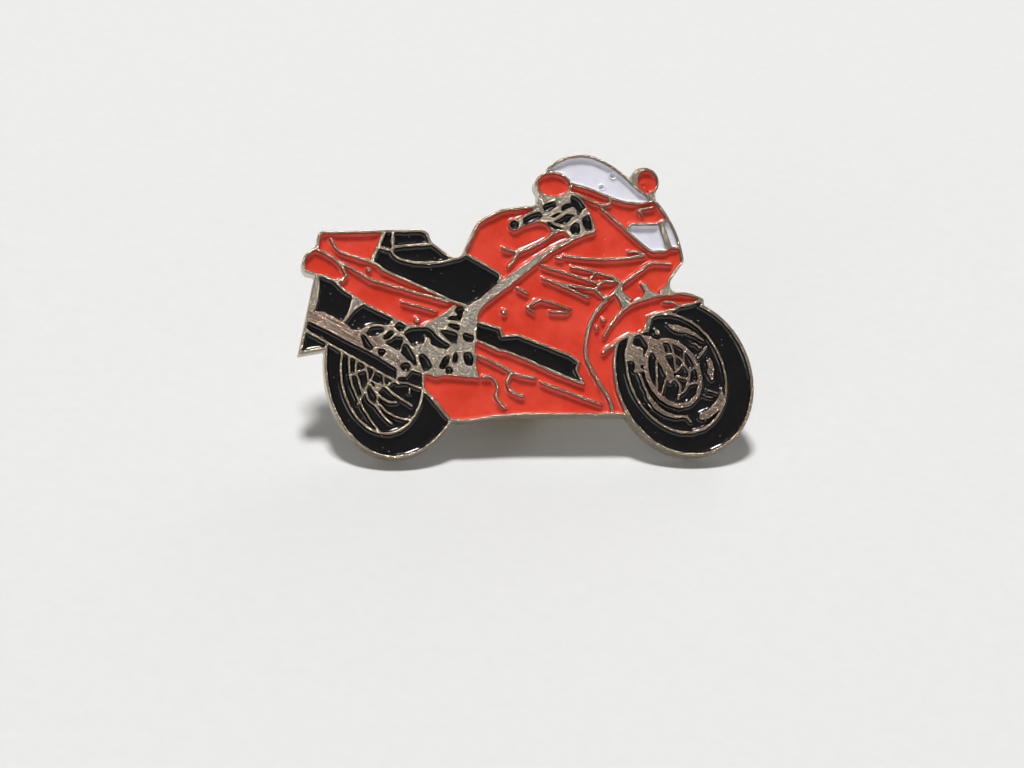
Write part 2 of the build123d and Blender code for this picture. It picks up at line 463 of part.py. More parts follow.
# Drawing: the round struck lines, less what the bodywork hides
with BuildSketch() as tyre_line:
    with Locations(tyre_middle(FRONT_TYRE)):
        Ellipse(*oval_radii(FRONT_TYRE, 0), rotation=FRONT_TYRE[4])
        Ellipse(*oval_radii(FRONT_TYRE, 1.2 * ridge), rotation=FRONT_TYRE[4], mode=Mode.SUBTRACT)
    with BuildLine():
        Polyline(*[at(*p) for p in FRONT_TYRE_HIDDEN], close=True)
    make_face(mode=Mode.SUBTRACT)

with BuildSketch() as front_rim_line:
    with Locations(at(FRONT_RIM[0], FRONT_RIM[1])):
        Ellipse(*oval_radii(FRONT_RIM, -ridge / 2), rotation=FRONT_RIM[4])
        Ellipse(*oval_radii(FRONT_RIM, ridge / 2), rotation=FRONT_RIM[4], mode=Mode.SUBTRACT)
    with BuildLine():
        Polyline(*[at(*p) for p in FRONT_RIM_HIDDEN], close=True)
    make_face(mode=Mode.SUBTRACT)

with BuildSketch() as rear_rim_line:
    with Locations(at(REAR_RIM[0], REAR_RIM[1])):
        Ellipse(*oval_radii(REAR_RIM, -ridge / 2), rotation=REAR_RIM[4])
        Ellipse(*oval_radii(REAR_RIM, ridge / 2), rotation=REAR_RIM[4], mode=Mode.SUBTRACT)
    with BuildLine():
        Polyline(*[at(*p) for p in REAR_RIM_HIDDEN], close=True)
    make_face(mode=Mode.SUBTRACT)

with BuildSketch() as disc_line:
    with Locations(at(FRONT_DISC[0], FRONT_DISC[1])):
        Ellipse(*oval_radii(FRONT_DISC, 0), rotation=FRONT_DISC[4])
        Ellipse(*oval_radii(FRONT_DISC, DISC_RING * SCALE), rotation=FRONT_DISC[4], mode=Mode.SUBTRACT)

with BuildSketch() as mirror_line:
    for oval in (NEAR_MIRROR, FAR_MIRROR):
        with Locations(at(oval[0], oval[1])):
            Ellipse(*oval_radii(oval, 0), rotation=oval[4])
    for oval, inset in ((NEAR_MIRROR, rim), (FAR_GLASS, 0)):
        with Locations(at(oval[0], oval[1])):
            Ellipse(*oval_radii(oval, inset), rotation=oval[4], mode=Mode.SUBTRACT)
    with BuildLine():
        Polyline(*[at(*p) for p in FAR_MIRROR_HIDDEN], close=True)
    make_face(mode=Mode.SUBTRACT)

# Drawing: the other struck lines, one width at a time
with BuildSketch() as stroke_lines:
    for width in sorted({row[1] for row in STROKES}):
        paths = []
        for name, stroke_width, form, points in STROKES:
            if stroke_width == width:
                with BuildLine() as path:
                    draw(form, points)
                paths.append(path.line)
        trace(lines=paths, line_width=width * ridge)

# Drawing: raised metal areas and dots, less the recesses in them
with BuildSketch() as metal:
    for name, points in METAL:
        with BuildLine():
            Polyline(*[at(*p) for p in points], close=True)
        make_face()
    for u, v, radius in DOTS:
        with Locations(at(u, v)):
            RegularPolygon(radius * SCALE, DOT_SIDES)
    with Locations(at(GRIP_END[0], GRIP_END[1])):
        RegularPolygon(GRIP_END[2] * SCALE, GRIP_SIDES)
    for points in COCKPIT_PITS + ENGINE_PITS + SILENCER_PITS:
        with BuildLine():
            Polyline(*[at(*p) for p in points], close=True)
        make_face(mode=Mode.SUBTRACT)
    with Locations(at(GRIP_END[0], GRIP_END[1])):
        RegularPolygon(GRIP_END[2] * SCALE - GRIP_RING * ridge, GRIP_SIDES, mode=Mode.SUBTRACT)

with BuildSketch() as recesses:
    add(inside.sketch)
    for lines in (tyre_line, front_rim_line, rear_rim_line, disc_line, mirror_line, stroke_lines, metal):
        add(lines.sketch, mode=Mode.SUBTRACT)


def recess_node(face):
    """The fill that a recess belongs to, or nothing for a corner too small to fill."""
    if face.area < SMALLEST_CELL * SCALE**2:
        return None
    for node, points in FILLS:
        if any(face.is_inside(Vector(*at(*p), 0)) for p in points):
            return node
    middle = face.center()
    for node, left, low, right, high in AREAS:
        near = at(left, low)
        far = at(right, high)
        if near[0] < middle.X < far[0] and near[1] < middle.Y < far[1]:
            return node
    return None


fill_faces = {}
for recess in recesses.sketch.faces():
    node = recess_node(recess)
    if node:
        fill_faces.setdefault(node, []).append(recess)

# How the pin leans: one wing's lower edge and the tyres' back edges stand on the table
post_v = at(POST_U, POST_V)[1]
disc_outside = CAP_GAP + CAP_DEPTH
spring_low = disc_outside + WINDOW_LOW
wing_cos = cos(radians(WING_ANGLE))
wing_sin = sin(radians(WING_ANGLE))
wing_out = WING_START + WING_LENGTH * wing_cos
wing_back = spring_low + WING_LENGTH * wing_sin
LEAN = degrees(atan2(wing_back, post_v - wing_out))

# The badge's plane is its back, with the tyres' foot line on the table and the pin's middle over the origin
lean_sin = sin(radians(LEAN))
lean_cos = cos(radians(LEAN))
badge_top = outline.sketch.bounding_box().max.Y
wing_top = (post_v + wing_out) * lean_cos + wing_back * lean_sin
y_front = -PLATE_THICKNESS * lean_sin
y_back = max(badge_top * lean_cos, wing_top)
badge = Plane(origin=(0, -(y_front + y_back) / 2, 0), x_dir=(1, 0, 0), z_dir=(0, -lean_sin, lean_cos))
face_plane = badge.offset(PLATE_THICKNESS)
floor_plane = badge.offset(PLATE_THICKNESS - RECESS_DEPTH)

# The post's plane looks out of the back; turned profiles are drawn with the post's axis upwards
post_spot = badge.from_local_coords((at(POST_U, POST_V)[0], post_v, 0))
post_plane = Plane(origin=post_spot, x_dir=(1, 0, 0), z_dir=(0, lean_sin, -lean_cos))
turned_plane = Plane(origin=post_spot, x_dir=post_plane.x_dir, z_dir=-post_plane.y_dir)
post_axis = Axis(post_spot, post_plane.z_dir)

os.makedirs("parts", exist_ok=True)

# The struck plate: the outline, with the recesses sunk from its face
with BuildPart() as plate:
    with BuildSketch(badge):
        add(outline.sketch)
    extrude(amount=PLATE_THICKNESS)
    with BuildSketch(face_plane):
        for faces in fill_faces.values():
            add(faces)
    extrude(amount=-RECESS_DEPTH, mode=Mode.SUBTRACT)
plate.part.label = "plate"
export_step(plate.part, "parts/plate.step")

# The enamel: each fill covers the floor of its recesses, below the struck lines
for node, faces in fill_faces.items():
    with BuildPart() as fill:
        with BuildSketch(floor_plane):
            add(faces)
        extrude(amount=FILL_THICKNESS)
    fill.part.label = node
    export_step(fill.part, f"parts/{node}.step")

# The post: a pad welded on the back, a shank with a groove, a plain neck and a point
neck_end = POST_LENGTH - POST_TIP
groove_end = neck_end - NECK_LENGTH
with BuildPart() as post:
    with BuildSketch(turned_plane):
        with BuildLine():
            Polyline(
                (0, 0),
                (PAD_RADIUS, 0),
                (PAD_RADIUS, PAD_THICKNESS),
                (POST_RADIUS, PAD_THICKNESS),
                (POST_RADIUS, groove_end - GROOVE_WIDTH),
                (POST_RADIUS - GROOVE_DEPTH, groove_end - GROOVE_WIDTH / 2),
                (POST_RADIUS, groove_end),
                (POST_RADIUS, neck_end),
                (POST_FLAT, POST_LENGTH),
                (0, POST_LENGTH),
                close=True,
            )
        make_face()
    revolve(axis=post_axis)
post.part.label = "post"
export_step(post.part, "parts/post.step")

# The clutch's cap: a dished disc with a rolled edge and a turret, open at two windows for the spring
turret_top = disc_outside + TURRET_HEIGHT
with BuildPart() as clutch_cap:
    with BuildSketch(turned_plane):
        with BuildLine():
            Polyline(
                (CAP_RADIUS, CAP_GAP),
                (CAP_RADIUS, disc_outside - CAP_BEVEL),
                (CAP_RADIUS - CAP_BEVEL, disc_outside),
                (TURRET_RADIUS, disc_outside),
                (TURRET_RADIUS, turret_top - CAP_BEVEL),
                (TURRET_RADIUS - CAP_BEVEL, turret_top),
                (TURRET_HOLE, turret_top),
                (TURRET_HOLE, turret_top - CAP_SHEET),
                (TURRET_RADIUS - CAP_SHEET, turret_top - CAP_SHEET),
                (TURRET_RADIUS - CAP_SHEET, disc_outside - CAP_SHEET),
                (CAP_RADIUS - 2 * CAP_SHEET, disc_outside - CAP_SHEET),
                (CAP_RADIUS - 2 * CAP_SHEET, CAP_GAP),
                close=True,
            )
        make_face()
    revolve(axis=post_axis)
    with BuildSketch(post_plane.offset(spring_low)):
        Rectangle(SPRING_WIDTH, 4 * TURRET_RADIUS)
    extrude(amount=SPRING_SHEET, mode=Mode.SUBTRACT)
clutch_cap.part.label = "clutch_cap"
export_step(clutch_cap.part, "parts/clutch_cap.step")

# The clutch's spring: a strip through the windows with its jaws round the post, and a bent wing at each end
with BuildPart() as clutch_spring:
    with BuildSketch(post_plane.offset(spring_low)):
        Rectangle(SPRING_WIDTH, 2 * WING_START)
        Circle(POST_RADIUS + JAW_CLEARANCE, mode=Mode.SUBTRACT)
    extrude(amount=SPRING_SHEET)
    for side in (-1, 1):
        wing_root = post_plane.from_local_coords((0, side * WING_START, spring_low))
        wing_up = post_plane.z_dir * wing_cos - post_plane.y_dir * side * wing_sin
        with BuildSketch(Plane(origin=wing_root, x_dir=post_plane.x_dir, z_dir=wing_up)) as wing:
            with Locations((0, side * WING_LENGTH / 2)):
                Rectangle(WING_WIDTH, WING_LENGTH)
            fillet(wing.vertices().sort_by(Axis.Y, reverse=side < 0)[-2:], WING_CORNER)
        extrude(amount=SPRING_SHEET)
clutch_spring.part.label = "clutch_spring"
export_step(clutch_spring.part, "parts/clutch_spring.step")

print(f"leans {LEAN:.4f} degrees, scale {SCALE:.6f}")
print("post root", [round(c, 5) for c in post_spot], "axis", [round(c, 9) for c in post_plane.z_dir])
print("neck from", round(groove_end, 4), "to", round(neck_end, 4))
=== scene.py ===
# %% [markdown]
# # An enamel lapel pin
# The object is a small struck metal badge in the outline of a sport motorcycle. A die presses a drawing of
# thin raised lines into a metal blank, the blank is plated with nickel, and the sunk cells between the lines
# are filled with red, black and white enamel. A post with a sliding clutch sits on the back.
#
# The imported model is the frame: every node is in metres, in the place where it belongs. First it is loaded,
# and the box that it fills is kept, because the finished pieces have to stay in that box.

import bpy
import numpy as np
from mathutils import Matrix, Vector
from mathutils.geometry import delaunay_2d_cdt

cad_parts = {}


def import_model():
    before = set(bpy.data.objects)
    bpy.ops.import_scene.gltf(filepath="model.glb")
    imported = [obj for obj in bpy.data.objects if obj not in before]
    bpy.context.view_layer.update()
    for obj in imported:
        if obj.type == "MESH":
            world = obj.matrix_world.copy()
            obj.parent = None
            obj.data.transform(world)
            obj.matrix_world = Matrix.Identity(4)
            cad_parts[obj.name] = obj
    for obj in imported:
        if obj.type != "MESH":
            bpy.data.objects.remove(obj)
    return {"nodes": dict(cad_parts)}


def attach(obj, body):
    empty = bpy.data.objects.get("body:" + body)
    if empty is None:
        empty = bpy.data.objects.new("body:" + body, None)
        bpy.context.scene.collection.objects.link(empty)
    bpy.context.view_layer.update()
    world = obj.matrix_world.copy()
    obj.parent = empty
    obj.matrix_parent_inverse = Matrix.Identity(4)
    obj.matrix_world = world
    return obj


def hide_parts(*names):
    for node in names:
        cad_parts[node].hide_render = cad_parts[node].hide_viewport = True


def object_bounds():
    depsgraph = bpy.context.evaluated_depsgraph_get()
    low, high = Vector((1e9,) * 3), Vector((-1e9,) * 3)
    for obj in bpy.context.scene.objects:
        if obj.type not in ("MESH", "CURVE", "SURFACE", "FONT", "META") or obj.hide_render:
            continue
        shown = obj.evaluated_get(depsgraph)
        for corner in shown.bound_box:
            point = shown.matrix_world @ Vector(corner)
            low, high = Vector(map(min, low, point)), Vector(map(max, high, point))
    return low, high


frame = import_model()
cad_box = [list(corner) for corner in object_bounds()]
print("loaded", len(frame["nodes"]), "nodes, box", np.round(cad_box, 5).tolist())

# %% [markdown]
# ## The badge's own axes
# The badge leans back on its clutch, so its face isn't level with any axis of the frame. Everything on the
# face is easier to think about in the badge's own millimetres: x along the wheels, y up the face and w out
# of it. The three directions could be typed in, but they are measured from the plate, so that they follow
# it if it changes. The face is the direction in which most of the plate's area looks, counting only what
# looks up.

# %% Measure the face and set up the two-way change of axes
MM = 0.001


def cad_mesh(node):
    """Corner places in millimetres and triangles of a CAD node, with corners that share a place merged."""
    mesh = frame["nodes"][node].data
    mesh.calc_loop_triangles()
    places = np.empty(len(mesh.vertices) * 3, np.float32)
    mesh.vertices.foreach_get("co", places)
    triangles = np.empty(len(mesh.loop_triangles) * 3, np.int32)
    mesh.loop_triangles.foreach_get("vertices", triangles)
    rounded = np.round(places.astype(float).reshape(-1, 3) / MM, 4)
    merged, number = np.unique(rounded, axis=0, return_inverse=True)
    return merged, number.reshape(-1)[triangles].reshape(-1, 3)


plate_places, plate_triangles = cad_mesh("plate")
sides = plate_places[plate_triangles]
area_vectors = np.cross(sides[:, 1] - sides[:, 0], sides[:, 2] - sides[:, 0]) / 2
areas = np.linalg.norm(area_vectors, axis=1)
directions, group = np.unique(np.round(area_vectors / areas[:, None], 3), axis=0, return_inverse=True)
group = group.reshape(-1)
area_by_direction = np.bincount(group, weights=areas) * (directions[:, 2] > 0)
face = area_vectors[group == area_by_direction.argmax()].sum(0)
W_AXIS = face / np.linalg.norm(face)
X_AXIS = np.array([1.0, 0.0, 0.0])
AXES = np.array([X_AXIS, np.cross(W_AXIS, X_AXIS), W_AXIS])
lowest = (plate_places @ AXES.T).min(0)
ORIGIN = np.array([0.0, lowest[1], lowest[2]]) @ AXES


def to_badge(places):
    """Frame millimetres to badge millimetres: subtract the origin and project on the three axes."""
    return (places - ORIGIN) @ AXES.T


def to_frame(points):
    """Badge millimetres to frame metres: add up the three axes and the origin."""
    return (points @ AXES + ORIGIN) * MM


PLATE_TOP = to_badge(plate_places)[:, 2].max()
FILL_NODES = sorted(node for node in frame["nodes"] if node.startswith("enamel_"))
fill_levels = to_badge(cad_mesh("enamel_fairing")[0])[:, 2]
FILL_FLOOR, FILL_TOP = fill_levels.min(), fill_levels.max()
print("face looks along", np.round(W_AXIS, 4).tolist(), "with its top at", round(PLATE_TOP, 3))
print("fills from", round(FILL_FLOOR, 3), "to", round(FILL_TOP, 3), "in", len(FILL_NODES), "nodes")

# %% [markdown]
# ## The camera
# The photographer stood a little to the left of the badge and a little below its face, so both angles are
# measured from the face's own normal. A camera could be turned by trial, but three directions, right, up
# and back, are a rotation already, and they are written straight into the camera's matrix.

# %% Put the camera where the photograph was taken
CAMERA_LEFT, CAMERA_BELOW = np.radians([11.0, 10.0])
CAMERA_DISTANCE = 147.0
CAMERA_ANGLE = np.radians(26.0)
LOOK_AT = np.array([-1.28, 4.927, PLATE_TOP])

back = np.array([-np.tan(CAMERA_LEFT), -np.tan(CAMERA_BELOW), 1.0])
back /= np.linalg.norm(back)
right = np.array([1.0, 0.0, 0.0]) - back[0] * back
right /= np.linalg.norm(right)
turn = np.array([right, np.cross(back, right), back]) @ AXES
camera = bpy.data.objects.new("camera", bpy.data.cameras.new("camera"))
bpy.context.scene.collection.objects.link(camera)
camera_place = to_frame(LOOK_AT + CAMERA_DISTANCE * back)
camera.matrix_world = Matrix.Translation(camera_place) @ Matrix(turn.T).to_4x4()
camera.data.sensor_fit = "HORIZONTAL"
camera.data.angle = CAMERA_ANGLE
camera.data.clip_start = 0.01
bpy.context.scene.camera = camera
print("camera at", np.round(camera.matrix_world.translation, 4).tolist())

# %% [markdown]
# ## Outlines
# Every cell of the drawing is in the model as a flat fill with a sharp edge. A struck cell has soft corners,
# because a die's cutter is round and plating fills the corners. So each outline is read from the model, cut
# into short steps and smoothed. A plain smoothing shrinks a loop, so every step that pulls a point towards
# the middle of its two neighbours is followed by one that pushes it back almost as far: corners go round
# and the size stays.

# %% Helpers that read, cut and soften an outline
LEVEL_TOLERANCE = 0.004
PULL, PUSH = 0.5, -0.52


def flat_edges(node, level, looks_up):
    """The outline of a node's flat face at a level: the edges that only one of its triangles has."""
    places, triangles = cad_mesh(node)
    points = to_badge(places)
    flat = triangles[np.abs(points[triangles, 2] - level).max(1) < LEVEL_TOLERANCE]
    flat = flat if looks_up else flat[:, ::-1]
    edges = np.concatenate([flat[:, [0, 1]], flat[:, [1, 2]], flat[:, [2, 0]]])
    alone = ~np.isin(edges[:, 0] * len(points) + edges[:, 1], edges[:, 1] * len(points) + edges[:, 0])
    return points[:, :2], edges[alone]


def cut_edges(points, edges, step):
    """Cuts each edge into equal parts up to a step long; gives the points and each one's next number."""
    start, along = points[edges[:, 0]], points[edges[:, 1]] - points[edges[:, 0]]
    parts = np.ceil(np.linalg.norm(along, axis=1) / step).astype(int)
    edge = np.repeat(np.arange(len(edges)), parts)
    first = np.cumsum(parts) - parts
    part = np.arange(len(edge)) - first[edge]
    cut = start[edge] + along[edge] * (part / parts[edge])[:, None]
    first_at = np.empty(len(points), int)
    first_at[edges[:, 0]] = first
    following = np.arange(len(edge)) + 1
    last = part == parts[edge] - 1
    following[last] = first_at[edges[edge[last], 1]]
    return cut, following


def before(following):
    """The number of the point before each point, which turns the list of next points round."""
    earlier = np.empty_like(following)
    earlier[following] = np.arange(len(following))
    return earlier


def soften(points, following, rounds):
    """Pulls each point half way to its neighbours' middle, pushes it 0.52 of the way back, and repeats."""
    earlier = before(following)
    for share in [PULL, PUSH] * rounds:
        points = points + share * ((points[following] + points[earlier]) / 2 - points)
    return points


rim_places, rim_corner_edges = flat_edges("plate", 0.0, False)
print("corners on the plate's outer edge", len(rim_corner_edges))

# %% [markdown]
# ### A die cut by hand
# The die is cut by hand under a glass, so the cells' edges wander by a few hundredths of a millimetre. The
# outer edge is trimmed by a punch and stays true. Plating and polishing leave the small cells of the engine
# and the cockpit a little larger than they are drawn, and one line of the front wheel is a broad band. Tables
# with places on the drawing count from the drawing's own corner, so its place on the badge is taken off.

# %% Cut all the outlines
OUTLINE_STEP = 0.09
USUAL_SOFTENING = 9
SOFTENING = {"enamel_engine": 4, "enamel_cockpit": 4}
GROWTH = {"enamel_engine": 0.04, "enamel_cockpit": 0.015}
WANDER = 0.010
DRAWING_ORIGIN = np.array([15.072, 0.252])
BAND_WIDTH, BAND_REACH, BAND_SOFTENING = 0.26, 0.16, 2
WHEEL_BAND = [(22.87, 4.93), (23.195, 4.295), (23.56, 3.785), (23.915, 3.47), (24.4, 3.19), (24.755, 3.065),
              (25.12, 2.995), (25.49, 2.965)]


def hand_cut(points):
    """Moves each point by slow waves across and up, two sines of its place each, so that widths wander."""
    x, y = points.T
    across = np.sin(9.1 * y + 2.3 * x) + np.sin(5.3 * y - 7.7 * x + 1.0)
    up = np.sin(8.3 * x - 3.1 * y + 0.6) + np.sin(6.1 * x + 6.7 * y + 2.0)
    return points + WANDER * np.column_stack([across, up])


def inset(points, following, depth):
    """The outline moved to its left, which is inwards, by a depth."""
    along = points[following] - points[before(following)]
    inward = np.stack([-along[:, 1], along[:, 0]], 1) / np.linalg.norm(along, axis=1)[:, None]
    return points + depth * inward


def broaden(points, path):
    """Pushes points just right of a path out to a width, the root of a half sine of the place along it."""
    corners = np.array(path) - DRAWING_ORIGIN
    start, along = corners[:-1], np.diff(corners, axis=0)
    length = np.linalg.norm(along, axis=1)
    from_start = points[:, None] - start
    share = np.clip((from_start * along).sum(2) / length ** 2, 0, 1)
    gaps = np.linalg.norm(from_start - share[:, :, None] * along, axis=2)
    nearest = gaps.argmin(1)
    row = np.arange(len(points))
    onward = along[nearest] / length[nearest][:, None]
    away = from_start[row, nearest]
    to_right = onward[:, 1] * away[:, 0] - onward[:, 0] * away[:, 1]
    place = (np.cumsum(length) - length)[nearest] + share[row, nearest] * length[nearest]
    wanted = BAND_WIDTH * np.sqrt(np.sin(np.pi * np.clip(place / length.sum(), 0, 1)))
    pushed = (to_right > 0) & (gaps[row, nearest] < BAND_REACH) & (wanted > to_right)
    aside = np.column_stack([onward[:, 1], -onward[:, 0]]) * (wanted - to_right)[:, None]
    return np.where(pushed[:, None], points + aside, points)


outlines = {}
for node in FILL_NODES:
    cut, following = cut_edges(*flat_edges(node, FILL_TOP, True), OUTLINE_STEP)
    cell = soften(cut, following, SOFTENING.get(node, USUAL_SOFTENING))
    if node in GROWTH:
        cell = inset(cell, following, -GROWTH[node])
    if node == "enamel_front_wheel":
        cell = soften(broaden(cell, WHEEL_BAND), following, BAND_SOFTENING)
    outlines[node] = (hand_cut(cell), following)
cut, following = cut_edges(rim_places, rim_corner_edges, OUTLINE_STEP)
outlines["plate"] = (soften(cut, following, USUAL_SOFTENING), following)
print("outline points", sum(len(points) for points, _ in outlines.values()), "with", len(cut), "on the rim")

# %% [markdown]
# ## Surfaces between outlines
# A cell has no simple formula for its area, so its surface is a set of points with triangles between them,
# and the height of each point is a formula of its distance to the nearest edge. Rows of points follow the
# outline at chosen distances, where the height changes fast, and a loose pattern fills the middle, where it
# hardly changes. Blender's constrained Delaunay triangulation joins them and leaves out the holes. A table of
# every point against every edge would be huge, so the points are taken in strips, each against the edges
# near it.

# %% Helpers for distances and rows
STRIP = 400
TRIANGLE_HEIGHT = 0.866
ROW_TOLERANCE = 0.97


def edge_distance(points, start, end, reach=0.8):
    """Distance from each point to the nearest edge, up to a reach: it is projected on each edge near it."""
    order = points[:, 0].argsort()
    nearest = np.empty(len(points))
    left = np.minimum(start[:, 0], end[:, 0]) - reach
    right = np.maximum(start[:, 0], end[:, 0]) + reach
    for strip in np.array_split(order, len(points) // STRIP + 1):
        here = points[strip]
        near = (left < here[:, 0].max()) & (right > here[:, 0].min())
        along = (end - start)[near]
        from_start = here[:, None] - start[near]
        share = np.clip((from_start * along).sum(2) / (along ** 2).sum(1), 0, 1)
        gaps = from_start - share[:, :, None] * along
        nearest[strip] = np.sqrt((gaps ** 2).sum(2).min(1, initial=reach ** 2))
    return nearest


def rows_inside(points, following, depths, spacing):
    """Rows of points at each depth to the left of the outline, and a triangular pattern further in."""
    wanted = np.repeat(depths, len(points))
    rows = np.concatenate([inset(points, following, depth) for depth in depths])
    low, high = points.min(0), points.max(0)
    columns = np.arange(low[0], high[0], spacing)
    levels = np.arange(low[1], high[1], spacing * TRIANGLE_HEIGHT)
    across, up = np.meshgrid(columns, levels)
    across = across + spacing / 2 * (np.arange(len(up)) % 2)[:, None]
    pattern = np.stack([across.ravel(), up.ravel()], 1)
    inside = np.concatenate([rows, pattern])
    wanted = np.concatenate([wanted * ROW_TOLERANCE, np.full(len(pattern), depths[-1] + spacing / 2)])
    inside = inside[edge_distance(inside, points, points[following]) > wanted]
    return inside[inside_outline(inside, points, points[following])]


def inside_outline(points, start, end):
    """True where a level line from a point to the right crosses an odd number of edges."""
    inside = np.empty(len(points), bool)
    low, high = np.minimum(start[:, 1], end[:, 1]), np.maximum(start[:, 1], end[:, 1])
    for strip in np.array_split(points[:, 1].argsort(), len(points) // STRIP + 1):
        here = points[strip]
        level = (low <= here[:, 1].max()) & (high >= here[:, 1].min())
        a, b = start[level], end[level]
        spans = (a[:, 1] > here[:, 1:]) != (b[:, 1] > here[:, 1:])
        rise = np.where(a[:, 1] == b[:, 1], 1.0, b[:, 1] - a[:, 1])
        meets = a[:, 0] + (here[:, 1:] - a[:, 1]) * (b[:, 0] - a[:, 0]) / rise
        inside[strip] = (spans & (meets > here[:, :1])).sum(1) % 2 == 1
    return inside


start, end = np.array([[0.0, 0.0]]), np.array([[1.0, 0.0]])
print("a point 0.3 above an edge is at", edge_distance(np.array([[0.5, 0.3]]), start, end))

# %% [markdown]
# ### From points to a piece
# The same few steps make every piece: triangles between points, walls between loops, and a mesh object that
# rides on its body, hides the nodes that it replaces and carries its materials. Smooth shading is kept sharp
# where two faces meet at more than a chosen angle.

# %% Helpers for triangles and pieces
MERGE_DISTANCE = 1e-7


def fill_triangles(points, edges):
    """Anticlockwise triangles that join the points, kept where their middles lie inside the edges."""
    corners = [Vector(point) for point in points.tolist()]
    made = delaunay_2d_cdt(corners, edges.tolist(), [], 0, MERGE_DISTANCE, True)
    triangles = np.array([numbers[0] for numbers in made[3]])[np.array(made[2])]
    a, b, c = points[triangles].transpose(1, 0, 2)
    clockwise = (b[:, 0] - a[:, 0]) * (c[:, 1] - a[:, 1]) < (b[:, 1] - a[:, 1]) * (c[:, 0] - a[:, 0])
    triangles[clockwise] = triangles[clockwise][:, ::-1]
    return triangles[inside_outline((a + b + c) / 3, points[edges[:, 0]], points[edges[:, 1]])]


def loop_edges(following, offset=0):
    """Each point's number with its next point's number, as edges."""
    return np.stack([np.arange(len(following)), following], 1) + offset


def wall(low, high):
    """Two triangles for each pair of edges of a lower and an upper loop; it looks to the edges' right."""
    return np.concatenate([np.stack([low[:, 0], low[:, 1], high[:, 1]], 1),
                           np.stack([low[:, 0], high[:, 1], high[:, 0]], 1)])


def make_piece(name, points, faces, body, nodes, slot, *materials, look=None, sharp=50.0, **attributes):
    """Puts badge points and faces into a mesh that rides on a body, and hides the CAD nodes it replaces."""
    mesh = bpy.data.meshes.new(name)
    mesh.from_pydata(to_frame(points).tolist(), [], [list(face) for face in faces])
    mesh.polygons.foreach_set("use_smooth", np.ones(len(mesh.polygons), bool))
    mesh.set_sharp_from_angle(angle=np.radians(sharp))
    for title, values in attributes.items():
        mesh.attributes.new(title, "FLOAT", "POINT").data.foreach_set("value", values.astype(np.float32))
    for material in materials:
        mesh.materials.append(material)
    if look is not None:
        mesh.polygons.foreach_set("material_index", look.astype(np.int32))
    piece = bpy.data.objects.new(name, mesh)
    bpy.context.scene.collection.objects.link(piece)
    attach(piece, body)
    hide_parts(*nodes)
    return piece


square = np.array([[0.0, 0.0], [1.0, 0.0], [1.0, 1.0], [0.0, 1.0]])
print("a square is filled by", len(fill_triangles(square, loop_edges(np.array([1, 2, 3, 0])))), "triangles")

# %% [markdown]
# ## Helpers for materials
# A finish is a small tree of nodes. One helper adds a node with its settings, one gives noise, one maps a
# range of values to another, one mixes two colours and one turns a height into a bump. Noise is read on
# Object coordinates that a Mapping node turns into the badge's own axes, so a streak can lie along the face
# or stand on it. Sizes are in metres, so a noise scale is one over a real length.

# %% Make the helpers
BADGE_TURN = Matrix(AXES.tolist())


def new_material(name):
    """A Principled material, with its tree and its shader."""
    material = bpy.data.materials.new(name)
    material.use_nodes = True
    return material, material.node_tree, material.node_tree.nodes["Principled BSDF"]


def put(tree, socket, value):
    """Links an output to an input socket, or sets the socket to a plain value."""
    if isinstance(value, bpy.types.NodeSocket):
        tree.links.new(value, socket)
    else:
        socket.default_value = value


def add(tree, kind, inputs=None, **settings):
    """Adds a node, sets its properties, and sets or links its inputs by name."""
    node = tree.nodes.new(kind)
    for title, value in settings.items():
        setattr(node, title, value)
    for title, value in (inputs or {}).items():
        put(tree, node.inputs[title], value)
    return node


def noise(tree, length_mm, detail=3.0, roughness=0.55, stretch=(1, 1, 1), turn=0.0):
    """Noise with lumps about length_mm across, in badge axes turned about the normal and then squeezed."""
    turned = (Matrix.Rotation(turn, 3, "Z") @ BADGE_TURN).to_euler()
    where = add(tree, "ShaderNodeTexCoord").outputs["Object"]
    lying = add(tree, "ShaderNodeMapping", {"Vector": where, "Rotation": turned}).outputs["Vector"]
    scaled = add(tree, "ShaderNodeMapping", {"Vector": lying, "Scale": stretch}).outputs["Vector"]
    lumps = {"Vector": scaled, "Scale": 1000 / length_mm, "Detail": detail, "Roughness": roughness}
    return add(tree, "ShaderNodeTexNoise", lumps).outputs["Fac"]


def ramp(tree, value, low, high, out_low=0.0, out_high=1.0):
    """Maps low..high of a value to out_low..out_high in a straight line, clamped at both ends."""
    limits = {"Value": value, "From Min": low, "From Max": high, "To Min": out_low, "To Max": out_high}
    return add(tree, "ShaderNodeMapRange", limits).outputs["Result"]


def times(tree, first, second):
    """The product of two values."""
    node = add(tree, "ShaderNodeMath", operation="MULTIPLY")
    put(tree, node.inputs[0], first)
    put(tree, node.inputs[1], second)
    return node.outputs[0]


def mix(tree, share, first, second):
    """Mixes two colours by a share from 0 to 1."""
    node = add(tree, "ShaderNodeMix", data_type="RGBA")
    for number, value in ((0, share), (6, first), (7, second)):
        put(tree, node.inputs[number], value)
    return node.outputs[2]


def bump(tree, height, depth_mm, strength=1.0, normal=None):
    """A bump of a given depth from a height between 0 and 1, on top of another bump if there is one."""
    inputs = {"Height": height, "Distance": depth_mm * MM, "Strength": strength}
    if normal is not None:
        inputs["Normal"] = normal
    return add(tree, "ShaderNodeBump", inputs).outputs["Normal"]


print("badge turn", [round(float(np.degrees(angle)), 2) for angle in BADGE_TURN.to_euler()])
